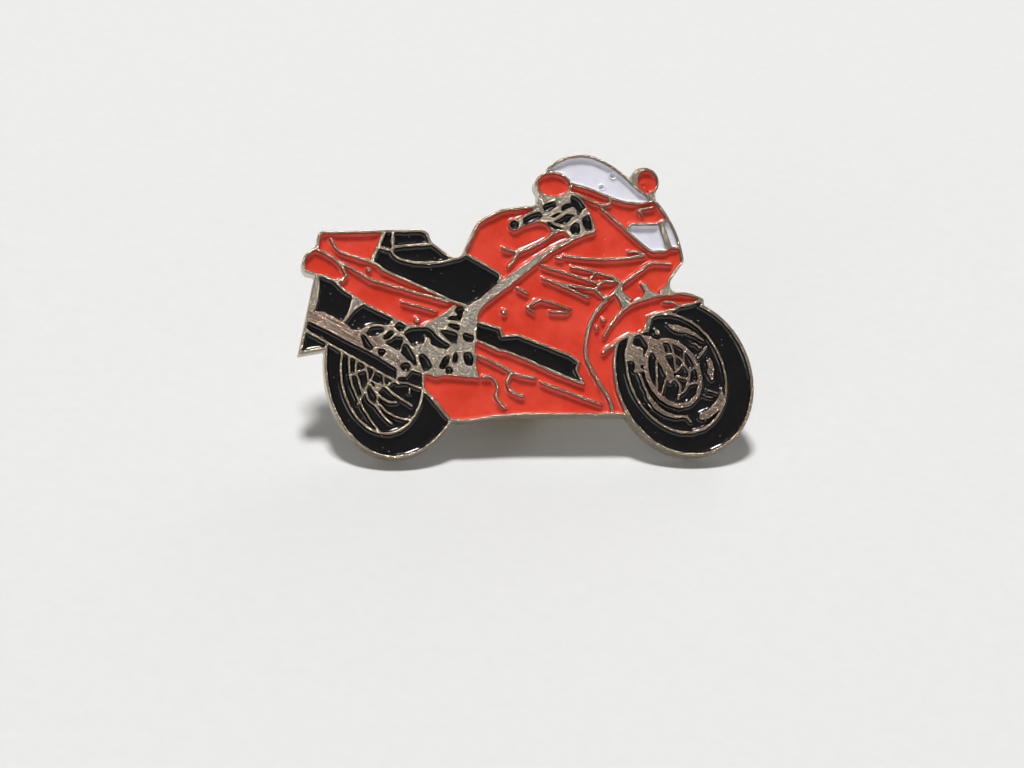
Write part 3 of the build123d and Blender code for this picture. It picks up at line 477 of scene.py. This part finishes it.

# %% [markdown]
# ## Struck nickel
# A rubbed line and a broad flat of the same plating look quite different. A line is rubbed bright on its
# crest, and its foot is coloured dark: a painted shade, as a wall shades its own foot. A flat keeps the grain
# of the die: small pits and fine streaks along the badge. Round the silencer and the front wheel a brown
# reflection with streaks of its own is painted into the metal. One material does both, because each point of
# the plate carries its distance to the nearest edge, and a second value says how much of the painted brown
# reflection it takes. The bump is two layers, grain and streaks. The back is blasted and matt, and the
# trimmed side has drag marks from the punch, so these two have materials of their own.

# %% Mix the nickel
REFLECTION_STREAK_TURN = np.radians(27.0)


def nickel_material():
    """Bright lines with a painted shade at their foot, sandy flats and a painted brown reflection."""
    material, tree, shader = new_material("nickel_struck")
    depth = add(tree, "ShaderNodeAttribute", attribute_name="edge_distance").outputs["Fac"]
    tarnish = add(tree, "ShaderNodeAttribute", attribute_name="tarnish").outputs["Fac"]
    broad = ramp(tree, depth, 0.09, 0.17)
    grain = noise(tree, 0.085, 3.0, 0.68)
    streaks = noise(tree, 0.06, 3.0, 0.65, (0.45, 1, 1))
    # Painted reflection: the two brown colours and their streaks stand for a brown reflection on lines and
    # flats.
    reflection_streaks = noise(tree, 0.13, 3.0, 0.6, (0.07, 1, 1), REFLECTION_STREAK_TURN)
    clean_crest = mix(tree, grain, (0.43, 0.335, 0.235, 1), (0.84, 0.70, 0.53, 1))
    crest_in_painted_reflection = mix(tree, grain, (0.28, 0.195, 0.145, 1), (0.70, 0.545, 0.44, 1))
    crest = mix(tree, tarnish, clean_crest, crest_in_painted_reflection)
    flat = mix(tree, ramp(tree, streaks, 0.40, 0.60), (0.28, 0.238, 0.19, 1), (0.84, 0.76, 0.635, 1))
    brown = mix(tree, ramp(tree, reflection_streaks, 0.36, 0.66), (0.19, 0.122, 0.085, 1), (0.66, 0.50, 0.39, 1))
    pits = times(tree, broad, ramp(tree, grain, 0.46, 0.37))
    metal = mix(tree, broad, crest, mix(tree, tarnish, flat, brown))
    metal = mix(tree, pits, metal, (0.10, 0.085, 0.07, 1))
    # Painted shade: the foot of every wall is coloured dark, as the shade that the wall casts on its own
    # foot.
    painted_foot_shade = mix(tree, grain, (0.07, 0.05, 0.037, 1), (0.24, 0.19, 0.145, 1))
    put(tree, shader.inputs["Base Color"], mix(tree, ramp(tree, depth, 0.016, 0.072), painted_foot_shade, metal))
    put(tree, shader.inputs["Roughness"], ramp(tree, broad, 0.0, 1.0, 0.18, 0.26))
    grained = bump(tree, grain, 0.055, 0.75)
    put(tree, shader.inputs["Normal"], bump(tree, streaks, 0.02, 0.5, grained))
    shader.inputs["Metallic"].default_value = 1.0
    return material


def back_material():
    """The back of the blank: the same plating on a finely blasted surface, matt and a little uneven."""
    material, tree, shader = new_material("nickel_blasted")
    stipple = noise(tree, 0.16, 2.0, 0.5)
    cloud = ramp(tree, noise(tree, 3.0, 3.0), 0.35, 0.65)
    put(tree, shader.inputs["Base Color"], mix(tree, cloud, (0.50, 0.47, 0.41, 1), (0.62, 0.59, 0.53, 1)))
    put(tree, shader.inputs["Roughness"], ramp(tree, stipple, 0.3, 0.7, 0.38, 0.55))
    put(tree, shader.inputs["Normal"], bump(tree, stipple, 0.05, 0.8))
    shader.inputs["Metallic"].default_value = 1.0
    return material


def side_material():
    """The trimmed side: bright plating over the fine drag marks that a punch leaves from face to back."""
    material, tree, shader = new_material("nickel_trimmed")
    drag = noise(tree, 0.12, 3.0, 0.6, (1, 1, 0.06))
    cloud = ramp(tree, noise(tree, 1.6, 3.0), 0.35, 0.65)
    marked = mix(tree, ramp(tree, drag, 0.36, 0.64), (0.46, 0.42, 0.36, 1), (0.76, 0.71, 0.63, 1))
    put(tree, shader.inputs["Base Color"], mix(tree, cloud, marked, (0.58, 0.51, 0.43, 1)))
    put(tree, shader.inputs["Roughness"], ramp(tree, drag, 0.3, 0.7, 0.34, 0.46))
    put(tree, shader.inputs["Normal"], bump(tree, drag, 0.010, 0.6))
    shader.inputs["Metallic"].default_value = 1.0
    return material


NICKEL, NICKEL_BACK, NICKEL_SIDE = nickel_material(), back_material(), side_material()
print("metals", NICKEL.name, NICKEL_BACK.name, NICKEL_SIDE.name)

# %% [markdown]
# ## Soft enamel
# Enamel on such a pin is a coloured resin, poured from a needle and baked. It is glossy, with a slow wave in
# its surface, a little lighter where it is thin, and it holds specks of dust. Three colours share one recipe,
# so the recipe is a function and the colours are a table.

# %% Mix the enamels
def enamel_material(name, deep, thin, speck, dusty):
    """Two tones mixed by a slow cloud, with specks where a fine noise passes a limit."""
    material, tree, shader = new_material(name)
    cloud = ramp(tree, noise(tree, 1.8, 2.0), 0.35, 0.7)
    specks = ramp(tree, noise(tree, 0.13, 0.0), dusty, dusty + 0.05)
    put(tree, shader.inputs["Base Color"], mix(tree, specks, mix(tree, cloud, deep, thin), speck))
    put(tree, shader.inputs["Roughness"], ramp(tree, noise(tree, 0.5, 3.0), 0.3, 0.7, 0.06, 0.14))
    waves = bump(tree, noise(tree, 1.1, 1.0), 0.02, 0.5)
    put(tree, shader.inputs["Normal"], bump(tree, specks, 0.02, 0.8, waves))
    shader.inputs["IOR"].default_value = 1.52
    return material


TONES = {
    "red_enamel": ((0.62, 0.040, 0.018, 1), (0.74, 0.064, 0.036, 1), (0.88, 0.42, 0.34, 1), 0.86),
    "black_enamel": ((0.0035, 0.0032, 0.0036, 1), (0.006, 0.0055, 0.006, 1), (0.45, 0.44, 0.45, 1), 0.845),
    "white_enamel": ((0.70, 0.69, 0.77, 1), (0.78, 0.77, 0.83, 1), (0.58, 0.57, 0.66, 1), 0.86),
}
ENAMELS = {slot: enamel_material(slot + "_gloss", *tones) for slot, tones in TONES.items()}
print("enamels", [material.name for material in ENAMELS.values()])

# %% [markdown]
# ## The enamel fills
# The resin shrinks as it bakes, so it ends up below the metal lines, and it climbs a little way up every
# wall. The height above the middle level falls off as an exponential of the distance to the wall, which is
# the shape of a liquid's edge. In the windscreen and the far mirror, bubbles have burst and left small
# craters: a bowl with a raised lip. A crater is a row of its table: place, radius and depth.

# %% Helpers for the fills
SINK, MENISCUS, MENISCUS_REACH = 0.07, 0.18, 0.105
CRATERS = {
    "enamel_windscreen": [(6.23, 19.40, 0.23, 0.20), (5.43, 18.55, 0.18, 0.16)],
    "enamel_far_mirror": [(8.40, 18.72, 0.20, 0.09), (8.62, 18.26, 0.13, 0.06)],
}
CRATER_RINGS = np.array([0.2, 0.45, 0.7, 0.85, 1.0, 1.15, 1.35, 1.7])
CRATER_COLUMNS = 18
LIP_HEIGHT, LIP_RADIUS, LIP_WIDTH = 0.45, 1.1, 0.25


def climb(distance):
    """The fill's middle level plus the climb at the wall, which falls off with the distance to it."""
    return FILL_TOP - SINK + MENISCUS * np.exp(-distance / MENISCUS_REACH)


def crater(points, x, y, radius, depth):
    """A bowl, one less the squared radius, squared, with a lip that is a bell curve round its edge."""
    out = np.hypot(points[:, 0] - x, points[:, 1] - y) / radius
    bowl = np.clip(1 - out ** 2, 0, 1) ** 2
    return depth * (LIP_HEIGHT * np.exp(-((out - LIP_RADIUS) / LIP_WIDTH) ** 2) - bowl)


def crater_points(x, y, radius):
    """Rings of points round a crater, so that the bowl and the lip have corners to bend at."""
    turn = np.linspace(0, 2 * np.pi, CRATER_COLUMNS + 1)[:-1]
    across, up = np.outer(radius * CRATER_RINGS, np.cos(turn)), np.outer(radius * CRATER_RINGS, np.sin(turn))
    return np.column_stack([(x + across).ravel(), (y + up).ravel()])


print("middle of a fill", round(FILL_TOP - SINK, 3), "and its edge", round(climb(0.0), 3))

# %% [markdown]
# ### Pouring
# Each fill is closed: the poured top, a wall down to the floor of the cell, and the floor itself. Where there
# is a crater, its rings take the place of the loose pattern.

# %% Pour the fills
FILL_ROWS = np.array([0.015, 0.035, 0.065, 0.11, 0.17, 0.26])
FILL_SPACING = 0.32
CRATER_MARGIN, CRATER_CLEARING = 0.03, 1.85
RED = ["tail_lamp", "tail_top", "tail_side", "tank", "fairing", "vents", "screen_strip", "cowl",
       "front_fender", "near_mirror", "far_mirror"]
WHITE = ["windscreen", "headlamps"]
SLOTS = dict.fromkeys(RED, "red_enamel") | dict.fromkeys(WHITE, "white_enamel")

total = 0
for node in FILL_NODES:
    slot = SLOTS.get(node.removeprefix("enamel_"), "black_enamel")
    points, following = outlines[node]
    edges = loop_edges(following)
    inner = rows_inside(points, following, FILL_ROWS, FILL_SPACING)
    for row in CRATERS.get(node, []):
        rings = crater_points(*row[:3])
        inside = edge_distance(rings, points, points[following]) > CRATER_MARGIN
        inside &= inside_outline(rings, points, points[following])
        far = np.hypot(inner[:, 0] - row[0], inner[:, 1] - row[1]) > CRATER_CLEARING * row[2]
        inner = np.concatenate([inner[far], rings[inside]])
    top = np.concatenate([points, inner])
    distance = np.concatenate([np.zeros(len(points)), edge_distance(inner, points, points[following])])
    height = climb(distance) + sum(crater(top, *row) for row in CRATERS.get(node, []))
    floor = np.column_stack([points, np.full(len(points), FILL_FLOOR)])
    triangles = np.concatenate([
        fill_triangles(top, edges),
        fill_triangles(points, edges)[:, ::-1] + len(top),
        wall(edges + len(top), edges)])
    shape = np.concatenate([np.column_stack([top, height]), floor])
    make_piece(node.replace("enamel", "fill"), shape, triangles, "badge", [node], slot, ENAMELS[slot])
    total += len(triangles)
print("fills", len(FILL_NODES), "with", total, "triangles")

# %% [markdown]
# ## The struck plate
# The metal between the cells is one surface with holes. Its edges are rounded over by polishing and plating,
# a quarter circle along each line, so a narrow line looks like a bead of bright metal. The walls go down to
# the floor of each cell. The outer edge goes down to the back, where the punch leaves a small round. Broad
# flats aren't dead level either: they rise and fall by a hundredth of a millimetre, and a sum of sines of the
# place gives that.

# %% Lay out the points of the metal
LINE_ROUND = 0.085
ROUND_STEPS = np.radians([22.5, 45.0, 67.5, 90.0])
FLAT_ROWS, METAL_SPACING = [0.14, 0.24], 0.25

cell_points = np.concatenate([outlines[node][0] for node in FILL_NODES])
sizes = np.array([len(outlines[node][0]) for node in FILL_NODES])
starts = np.cumsum(sizes) - sizes
cell_following = np.concatenate([outlines[node][1] + start for node, start in zip(FILL_NODES, starts)])
rim_points, rim_following = outlines["plate"]
metal_points = np.concatenate([rim_points, cell_points])
metal_following = np.concatenate([rim_following, before(cell_following) + len(rim_points)])
metal_edges = loop_edges(metal_following)
row_depths = np.concatenate([LINE_ROUND * (1 - np.cos(ROUND_STEPS)), FLAT_ROWS])
inner = rows_inside(metal_points, metal_following, row_depths, METAL_SPACING)
top = np.concatenate([metal_points, inner])
to_edge = edge_distance(inner, metal_points, metal_points[metal_following])
distance = np.concatenate([np.zeros(len(metal_points)), to_edge])
print("points on the metal", len(top))

# %% [markdown]
# ### Heights and the painted reflection
# Both are formulas of a point's place, so they are worked out for all points at once. Where the brown
# reflection is painted is a table of lines on the drawing, each with the width over which it fades. The
# material also reads the distance to the nearest edge. On the outer edge that distance never falls below a
# small value, so the painted shade at the foot of the rim is lighter.

# %% Shape the metal
UNEVENNESS, UNEVEN_FROM, UNEVEN_OVER = 0.010, 0.03, 0.06
REFLECTION_STEEPNESS = 1.6
# The lowest edge distance on the outer rim, which lightens the painted shade at its foot, and how close two
# distances must be to count as one edge.
RIM_SHADE_LIFT, SAME_EDGE = 0.025, 0.001
# Lines on the drawing round which a brown reflection is painted into the metal, each with the width over
# which it fades.
PAINTED_REFLECTION_LINES = [
    ((0.6, 9.75), (4.6, 7.9), 0.75), ((4.6, 7.9), (6.9, 6.1), 0.25),
    ((26.6, 2.9), (28.3, 4.6), 0.6), ((24.6, 9.1), (27.2, 8.1), 0.35), ((27.4, 5.5), (27.5, 6.9), 0.35),
    ((23.0, 8.4), (24.9, 5.4), 0.6), ((23.2, 4.9), (24.4, 3.8), 0.4), ((24.4, 3.8), (25.9, 3.9), 0.4),
    ((25.9, 3.9), (26.6, 5.6), 0.4), ((24.8, 6.0), (25.3, 5.4), 4.5),
]


def rounded_drop(distance, radius):
    """How far a quarter-round edge lies below the top: nothing past the radius, all of it at the edge."""
    short = np.clip(1 - distance / radius, 0, 1)
    return radius * (1 - np.sqrt(1 - short ** 2))


def unevenness(points, distance):
    """Crossing sines of about a hundredth of a millimetre, which fade in away from the edges."""
    x, y = points.T
    fade = np.clip((distance - UNEVEN_FROM) / UNEVEN_OVER, 0, 1)
    slow = np.sin(6.0 * x + 3.0 * y) * np.sin(7.0 * y - 2.0 * x)
    quick = np.sin(15.0 * x - 7.0 * y + 1.0) * np.sin(13.0 * y + 9.0 * x)
    return -UNEVENNESS * fade * (2 + slow + quick)


def near_lines(points, lines):
    """One on a line of the table and nothing beyond its width, in a smooth step between."""
    share = np.zeros(len(points))
    for start, end, width in lines:
        a, b = np.array(start) - DRAWING_ORIGIN, np.array(end) - DRAWING_ORIGIN
        gap = edge_distance(points, a[None], b[None], width) / width
        share = np.maximum(share, np.clip(REFLECTION_STEEPNESS - REFLECTION_STEEPNESS * gap, 0, 1))
    return share


surface = np.column_stack([top, PLATE_TOP - rounded_drop(distance, LINE_ROUND) + unevenness(top, distance)])
to_cell = edge_distance(top, cell_points, cell_points[cell_following])
# On the outer rim the edge distance is held up, so the painted shade at the rim's foot is lighter there.
distance_for_flats_and_shade = np.where(to_cell > distance + SAME_EDGE, np.maximum(distance, RIM_SHADE_LIFT), distance)
# How much of the painted brown reflection each point of the metal takes.
tarnished = near_lines(top, PAINTED_REFLECTION_LINES)
print("metal from", round(surface[:, 2].min(), 3), "to", round(surface[:, 2].max(), 3))

# %% [markdown]
# ### Walls, floors and back
# The plate is closed by the walls and floors of the cells, the side with its small round, and the back. Faces
# are kept in three groups, because the struck front, the blasted back and the trimmed side have materials of
# their own.

# %% Close the plate
BACK_ROUND = 0.05
BACK_TURNS = np.radians([0.0, 45.0, 90.0])

cell_floor = np.column_stack([cell_points, np.full(len(cell_points), FILL_FLOOR)])
back_rows = []
for turn in BACK_TURNS:
    row = inset(rim_points, rim_following, BACK_ROUND * (1 - np.cos(turn)))
    back_rows.append(np.column_stack([row, np.full(len(row), BACK_ROUND * (1 - np.sin(turn)))]))
shape = np.concatenate([surface, cell_floor] + back_rows)
floor_start = len(surface)
back_starts = floor_start + len(cell_floor) + len(rim_points) * np.arange(len(back_rows))
cell_edges, rim_edges = loop_edges(cell_following), loop_edges(rim_following)
front_faces = np.concatenate([
    fill_triangles(top, metal_edges),
    wall(cell_edges[:, ::-1] + floor_start, cell_edges[:, ::-1] + len(rim_points)),
    fill_triangles(cell_points, cell_edges) + floor_start])
back_faces = fill_triangles(back_rows[-1][:, :2], rim_edges)[:, ::-1] + back_starts[-1]
side_faces = np.concatenate([
    wall(rim_edges + back_starts[0], rim_edges),
    wall(rim_edges + back_starts[1], rim_edges + back_starts[0]),
    wall(rim_edges + back_starts[2], rim_edges + back_starts[1])])
rest = np.zeros(len(shape) - len(surface))
plate = make_piece(
    "struck_plate", shape, np.concatenate([front_faces, back_faces, side_faces]), "badge", ["plate"],
    "nickel", NICKEL, NICKEL_BACK, NICKEL_SIDE,
    look=np.repeat([0, 1, 2], [len(front_faces), len(back_faces), len(side_faces)]),
    edge_distance=np.concatenate([distance_for_flats_and_shade, rest]),
    tarnish=np.concatenate([tarnished, rest]))
print("plate", len(plate.data.polygons), "triangles")

# %% [markdown]
# ## Turned pieces
# The post is turned and the clutch's cap is spun, so both are a profile carried round the post's axis: a
# grid of rows along the profile and columns round it. A profile is written as its corners, and each corner
# is rounded by a parabola, because no bend in sheet and no edge of a turned piece is quite sharp.

# %% Helpers for turned pieces
SHARP_ANGLE = 40.0
post_places = to_badge(cad_mesh("post")[0])
AXIS_X, AXIS_Y = (post_places[:, :2].min(0) + post_places[:, :2].max(0)) / 2


def eased(corners, reach, steps=5):
    """Rounds each inner corner of a path by a parabola between points a reach before and after it."""
    corners = np.array(corners, float)
    legs = np.diff(corners, axis=0)
    lengths = np.linalg.norm(legs, axis=1)
    ways = legs / lengths[:, None]
    limit = 0.49 * np.minimum(lengths[:-1], lengths[1:])
    bend = np.minimum(np.broadcast_to(reach, limit.shape), limit)[:, None, None]
    share = np.linspace(0, 1, steps)[None, :, None]
    middle = corners[1:-1, None]
    start, end = middle - bend * ways[:-1, None], middle + bend * ways[1:, None]
    rounded = (1 - share) ** 2 * start + 2 * share * (1 - share) * middle + share ** 2 * end
    return np.concatenate([corners[:1], rounded.reshape(-1, 2), corners[-1:]])


def turned(profile, around):
    """Radius and height rows carried round the post's axis; height is counted out of the badge's back."""
    x = AXIS_X + np.outer(profile[:, 0], np.cos(around))
    y = AXIS_Y + np.outer(profile[:, 0], np.sin(around))
    w = np.repeat(-profile[:, 1], len(around))
    return np.column_stack([x.ravel(), y.ravel(), w])


def grid_faces(rows, columns):
    """Four corners for each gap between rows and columns, with the last column joined to the first."""
    row, column = np.meshgrid(np.arange(rows - 1), np.arange(columns), indexing="ij")
    onward = (column + 1) % columns
    corners = [row * columns + column, (row + 1) * columns + column, (row + 1) * columns + onward,
               row * columns + onward]
    return np.stack(corners, -1).reshape(-1, 4)


print("post axis at", round(AXIS_X, 4), round(AXIS_Y, 4), "length", round(-post_places[:, 2].min(), 3))

# %% [markdown]
# ## The post
# A steel pin with a flat pad is soldered to the back. It has a groove that the clutch's jaws snap into, and
# a blunt point that goes through cloth. Turning leaves fine rings round it, so its noise is squeezed flat in
# the two directions across the axis, and only the place along the axis changes it.

# %% Turn the post
POST_PROFILE = [(1.5, 0.0), (1.5, 0.35), (0.6, 0.35), (0.6, 5.3), (0.4, 5.6), (0.6, 5.9), (0.6, 7.2),
                (0.12, 8.17), (0.04, 8.2)]
POST_EASE = [0.08, 0.22, 0.1, 0.08, 0.1, 0.3, 0.05]
POST_COLUMNS = 48


def steel_material():
    """Plated steel with turning rings and a soft tint that changes in slow clouds."""
    material, tree, shader = new_material("steel_turned")
    rings = noise(tree, 0.14, 2.0, 0.6, (0.0, 0.0, 1.0))
    cloud = ramp(tree, noise(tree, 1.2, 3.0), 0.35, 0.65)
    put(tree, shader.inputs["Base Color"], mix(tree, cloud, (0.44, 0.43, 0.41, 1), (0.56, 0.55, 0.52, 1)))
    put(tree, shader.inputs["Roughness"], ramp(tree, rings, 0.3, 0.7, 0.32, 0.44))
    put(tree, shader.inputs["Normal"], bump(tree, rings, 0.006, 0.5))
    shader.inputs["Metallic"].default_value = 1.0
    return material


profile = eased(POST_PROFILE, POST_EASE)
around = np.linspace(0, 2 * np.pi, POST_COLUMNS + 1)[:-1]
shape = turned(profile, around)
ends = [np.arange(POST_COLUMNS).tolist(), np.arange(len(shape) - POST_COLUMNS, len(shape))[::-1].tolist()]
faces = grid_faces(len(profile), POST_COLUMNS).tolist() + ends
make_piece("pin_post", shape, faces, "badge", ["post"], "post_steel", steel_material(), sharp=SHARP_ANGLE)
print("post", len(faces), "faces")

# %% [markdown]
# ## The clutch's cap
# The cap is one brass sheet, drawn into a dish with a hemmed edge and a turret, with a shallow ring pressed
# into its disc. Two windows in the turret let the spring's wings out. The grid is the middle of the sheet:
# the faces in the windows are left out, and Solidify gives the sheet its thickness.

# %% Spin the cap
CAP_SHEET, CUT_EDGE = 0.33, 0.05
SCRATCH_TURN = 0.5
ON_TURRET = 0.05
WINDOW_SIDE, WINDOW_LOW, WINDOW_HIGH = 1.6, 1.32, 1.72
TURRET = 2.325
CAP_PROFILE = [(5.06, 0.62), (5.06, 0.2), (5.425, 0.2), (5.425, 0.745), (4.75, 0.745), (4.55, 0.67),
               (3.5, 0.67), (3.3, 0.745), (TURRET, 0.745), (TURRET, WINDOW_LOW), (TURRET, WINDOW_HIGH),
               (TURRET, 2.745), (1.0, 2.745)]
CAP_EASE = [0.17, 0.17, 0.22, 0.1, 0.1, 0.1, 0.1, 0.2, 0.02, 0.02, 0.3]
CAP_COLUMNS = 96


def brass_material():
    """Drawn brass: a warm yellow with a slow brown cloud, fine scratches and a soft wave from the press."""
    material, tree, shader = new_material("brass_drawn")
    cloud = ramp(tree, noise(tree, 2.4, 4.0), 0.38, 0.68)
    scratches = noise(tree, 0.14, 2.0, 0.55, (0.06, 1, 1), SCRATCH_TURN)
    worn = mix(tree, ramp(tree, scratches, 0.35, 0.7), (0.72, 0.50, 0.20, 1), (0.88, 0.68, 0.34, 1))
    put(tree, shader.inputs["Base Color"], mix(tree, cloud, worn, (0.52, 0.34, 0.13, 1)))
    put(tree, shader.inputs["Roughness"], ramp(tree, scratches, 0.3, 0.7, 0.30, 0.46))
    waves = bump(tree, noise(tree, 0.9, 2.0), 0.03, 0.5)
    put(tree, shader.inputs["Normal"], bump(tree, scratches, 0.004, 0.5, waves))
    shader.inputs["Metallic"].default_value = 1.0
    return material


def thicken(piece, thickness_mm, edge_mm):
    """Gives a sheet its thickness on both sides of its middle, and rounds its cut edges."""
    sheet = piece.modifiers.new("sheet", "SOLIDIFY")
    sheet.thickness = thickness_mm * MM
    sheet.offset = 0.0
    sheet.use_even_offset = True
    edge = piece.modifiers.new("edge", "BEVEL")
    edge.width = edge_mm * MM
    edge.segments = 2
    edge.limit_method = "ANGLE"
    edge.angle_limit = np.radians(60)


BRASS = brass_material()
profile = eased(CAP_PROFILE, CAP_EASE)
around = np.linspace(0, 2 * np.pi, CAP_COLUMNS + 1)[:-1]
corner = np.arccos(WINDOW_SIDE / TURRET)
window_sides = np.array([corner, np.pi - corner, np.pi + corner, 2 * np.pi - corner])
around[np.abs(around[:, None] - window_sides).argmin(0)] = window_sides
faces = grid_faces(len(profile), CAP_COLUMNS)
shape = turned(profile, around)
middles = shape[faces].mean(1) - [AXIS_X, AXIS_Y, 0]
on_turret = np.abs(np.hypot(middles[:, 0], middles[:, 1]) - TURRET) < ON_TURRET
in_window = on_turret & (np.abs(middles[:, 0]) < WINDOW_SIDE) & (-middles[:, 2] > WINDOW_LOW)
in_window &= -middles[:, 2] < WINDOW_HIGH
cap = make_piece("clutch_dish", shape, faces[~in_window], "clutch", ["clutch_cap"], "clutch_brass", BRASS,
                 sharp=SHARP_ANGLE)
thicken(cap, CAP_SHEET, CUT_EDGE)
print("cap", (~in_window).sum(), "faces, window faces left out", in_window.sum())

# %% [markdown]
# ## The clutch's spring
# The spring is blanked flat from brass strip, with a round hole for the jaws, and then bent: a wing at each
# end stands up, so that finger and thumb can squeeze it. It is made the same way. The blank's outline is
# filled with triangles while it is flat, and a bend carries each point along a path whose slope rises
# smoothly from nothing to the wing's angle. Three ribs across each wing give a grip.

# %% Blank and bend the spring
SPRING_LEVEL, SPRING_SHEET, JAW_RADIUS = 1.52, 0.28, 0.65
WING_BEND, WING_ANGLE, BEND_LENGTH = 2.83, np.radians(52.0), 0.5
BEND_STEPS = np.linspace(0, 7.5, 1501)
RIBS, RIB_HEIGHT, RIB_WIDTH = np.array([4.9, 5.5, 6.1]), 0.05, 0.13
BLANK_STEP, BLANK_ROW, BLANK_SPACING, HOLE_CORNERS = 0.14, 0.1, 0.16, 48
HALF_BLANK = [(1.5, 2.7), (1.9, 3.2), (1.9, 6.97), (-1.9, 6.97), (-1.9, 3.2), (-1.5, 2.7)]
BLANK = [(1.5, 0.0)] + HALF_BLANK + [(-x, -s) for x, s in HALF_BLANK] + [(1.5, 0.0)]
BLANK_EASE = [0.2, 0.2, 1.0, 1.0, 0.2, 0.2] * 2


def bent(blank):
    """Carries flat points along a path: the slope is a smooth step of the length, summed up to a place."""
    share = np.clip((BEND_STEPS - WING_BEND) / BEND_LENGTH + 0.5, 0, 1)
    slope = WING_ANGLE * share ** 2 * (3 - 2 * share)
    out = np.concatenate([[0], np.cumsum(np.cos(slope[:-1]) * np.diff(BEND_STEPS))])
    rise = np.concatenate([[0], np.cumsum(np.sin(slope[:-1]) * np.diff(BEND_STEPS))])
    along, side = np.abs(blank[:, 1]), np.sign(blank[:, 1])
    tilt = np.interp(along, BEND_STEPS, slope)
    across = np.clip(4 - 2.5 * np.abs(blank[:, 0]), 0, 1)
    rib = np.exp(-((along[:, None] - RIBS) / RIB_WIDTH) ** 2).sum(1) * across
    away = np.interp(along, BEND_STEPS, out) - RIB_HEIGHT * rib * np.sin(tilt)
    height = SPRING_LEVEL + np.interp(along, BEND_STEPS, rise) + RIB_HEIGHT * rib * np.cos(tilt)
    return np.column_stack([AXIS_X + blank[:, 0], AXIS_Y + side * away, -height])


edge = eased(BLANK, BLANK_EASE, 9)[:-1]
turn = -np.linspace(0, 2 * np.pi, HOLE_CORNERS + 1)[:-1]
hole = JAW_RADIUS * np.column_stack([np.cos(turn), np.sin(turn)])
loops = np.concatenate([edge, hole])
following = np.concatenate([np.roll(np.arange(len(edge)), -1), np.roll(np.arange(len(hole)), -1) + len(edge)])
points, following = cut_edges(loops, loop_edges(following), BLANK_STEP)
blank = np.concatenate([points, rows_inside(points, following, np.array([BLANK_ROW]), BLANK_SPACING)])
triangles = fill_triangles(blank, loop_edges(following))
spring = make_piece("clutch_wings", bent(blank), triangles, "clutch", ["clutch_spring"], "clutch_brass",
                    BRASS, sharp=SHARP_ANGLE)
thicken(spring, SPRING_SHEET, CUT_EDGE)
print("spring", len(triangles), "triangles")

# %% [markdown]
# ## The floor
# The badge lies on a pale sheet of paper, as in a small product studio. The sheet curves up all round, a
# quarter circle carried round the middle, so that no edge and no horizon shows from any side. The paper is a
# light grey, because the key lamp shines straight down on it.

# %% Lay the paper
bpy.context.scene.view_settings.view_transform = "Standard"
PAPER_FLAT, PAPER_ROUND, PAPER_COLUMNS, PAPER_ROWS = 0.60, 0.25, 96, 17
PAPER_GAP = 0.00002
floor_z = cad_box[0][2] - PAPER_GAP
rise = np.linspace(0, np.pi / 2, PAPER_ROWS)
out = PAPER_FLAT + PAPER_ROUND * np.sin(rise)
height = floor_z + PAPER_ROUND * (1 - np.cos(rise))
around = np.linspace(0, 2 * np.pi, PAPER_COLUMNS + 1)[:-1]
paper_points = np.column_stack([np.outer(out, np.cos(around)).ravel(), np.outer(out, np.sin(around)).ravel(),
                                np.repeat(height, PAPER_COLUMNS)])
floor_mesh = bpy.data.meshes.new("floor")
paper_faces = grid_faces(PAPER_ROWS, PAPER_COLUMNS).tolist() + [list(range(PAPER_COLUMNS))]
floor_mesh.from_pydata(paper_points.tolist(), [], paper_faces)
floor_mesh.polygons.foreach_set("use_smooth", np.ones(len(floor_mesh.polygons), bool))
floor_material, floor_tree, floor_shader = new_material("pale_paper")
fibres = noise(floor_tree, 0.9, 4.0, 0.6)
paper = mix(floor_tree, fibres, (0.56, 0.56, 0.555, 1), (0.60, 0.60, 0.595, 1))
put(floor_tree, floor_shader.inputs["Base Color"], paper)
floor_shader.inputs["Roughness"].default_value = 0.9
floor_shader.inputs["Specular IOR Level"].default_value = 0.2
floor_mesh.materials.append(floor_material)
floor_object = bpy.data.objects.new("floor", floor_mesh)
bpy.context.scene.collection.objects.link(floor_object)
print("paper", len(paper_faces), "faces, its flat at", round(floor_z, 6))

# %% [markdown]
# ## The light
# The photograph's light comes from above: the upper wall of each cell shades the enamel under it, and the
# lower edge of the enamel shines. So the key lamp hangs overhead. A lamp in front and a weak one behind open
# the shadows. All three are metres away, which is far for so small a thing, so the light is even over the
# whole badge and over the paper near it.

# %% Hang the lamps
LAMP_TARGET = Vector((0, 0, 0.008))


def soft_lamp(name, place, width, watts):
    """A square area lamp at a place in metres, turned to the badge."""
    lamp = bpy.data.lights.new(name, "AREA")
    lamp.size = width
    lamp.energy = watts
    holder = bpy.data.objects.new(name, lamp)
    holder.location = place
    holder.rotation_mode = "QUATERNION"
    holder.rotation_quaternion = (LAMP_TARGET - Vector(place)).to_track_quat("-Z", "Y")
    bpy.context.scene.collection.objects.link(holder)


soft_lamp("key_lamp", (-0.24, 0.60, 2.70), 0.50, 90.0)
soft_lamp("front_lamp", (-2.04, -2.16, 0.96), 1.30, 16.2)
soft_lamp("back_lamp", (1.50, 2.70, 1.32), 1.50, 21.6)
world = bpy.data.worlds.new("studio")
bpy.context.scene.world = world
world.use_nodes = True
world.node_tree.nodes["Background"].inputs["Color"].default_value = (1.0, 0.985, 0.96, 1)
world.node_tree.nodes["Background"].inputs["Strength"].default_value = 0.17
print("three lamps hang in the world", world.name)
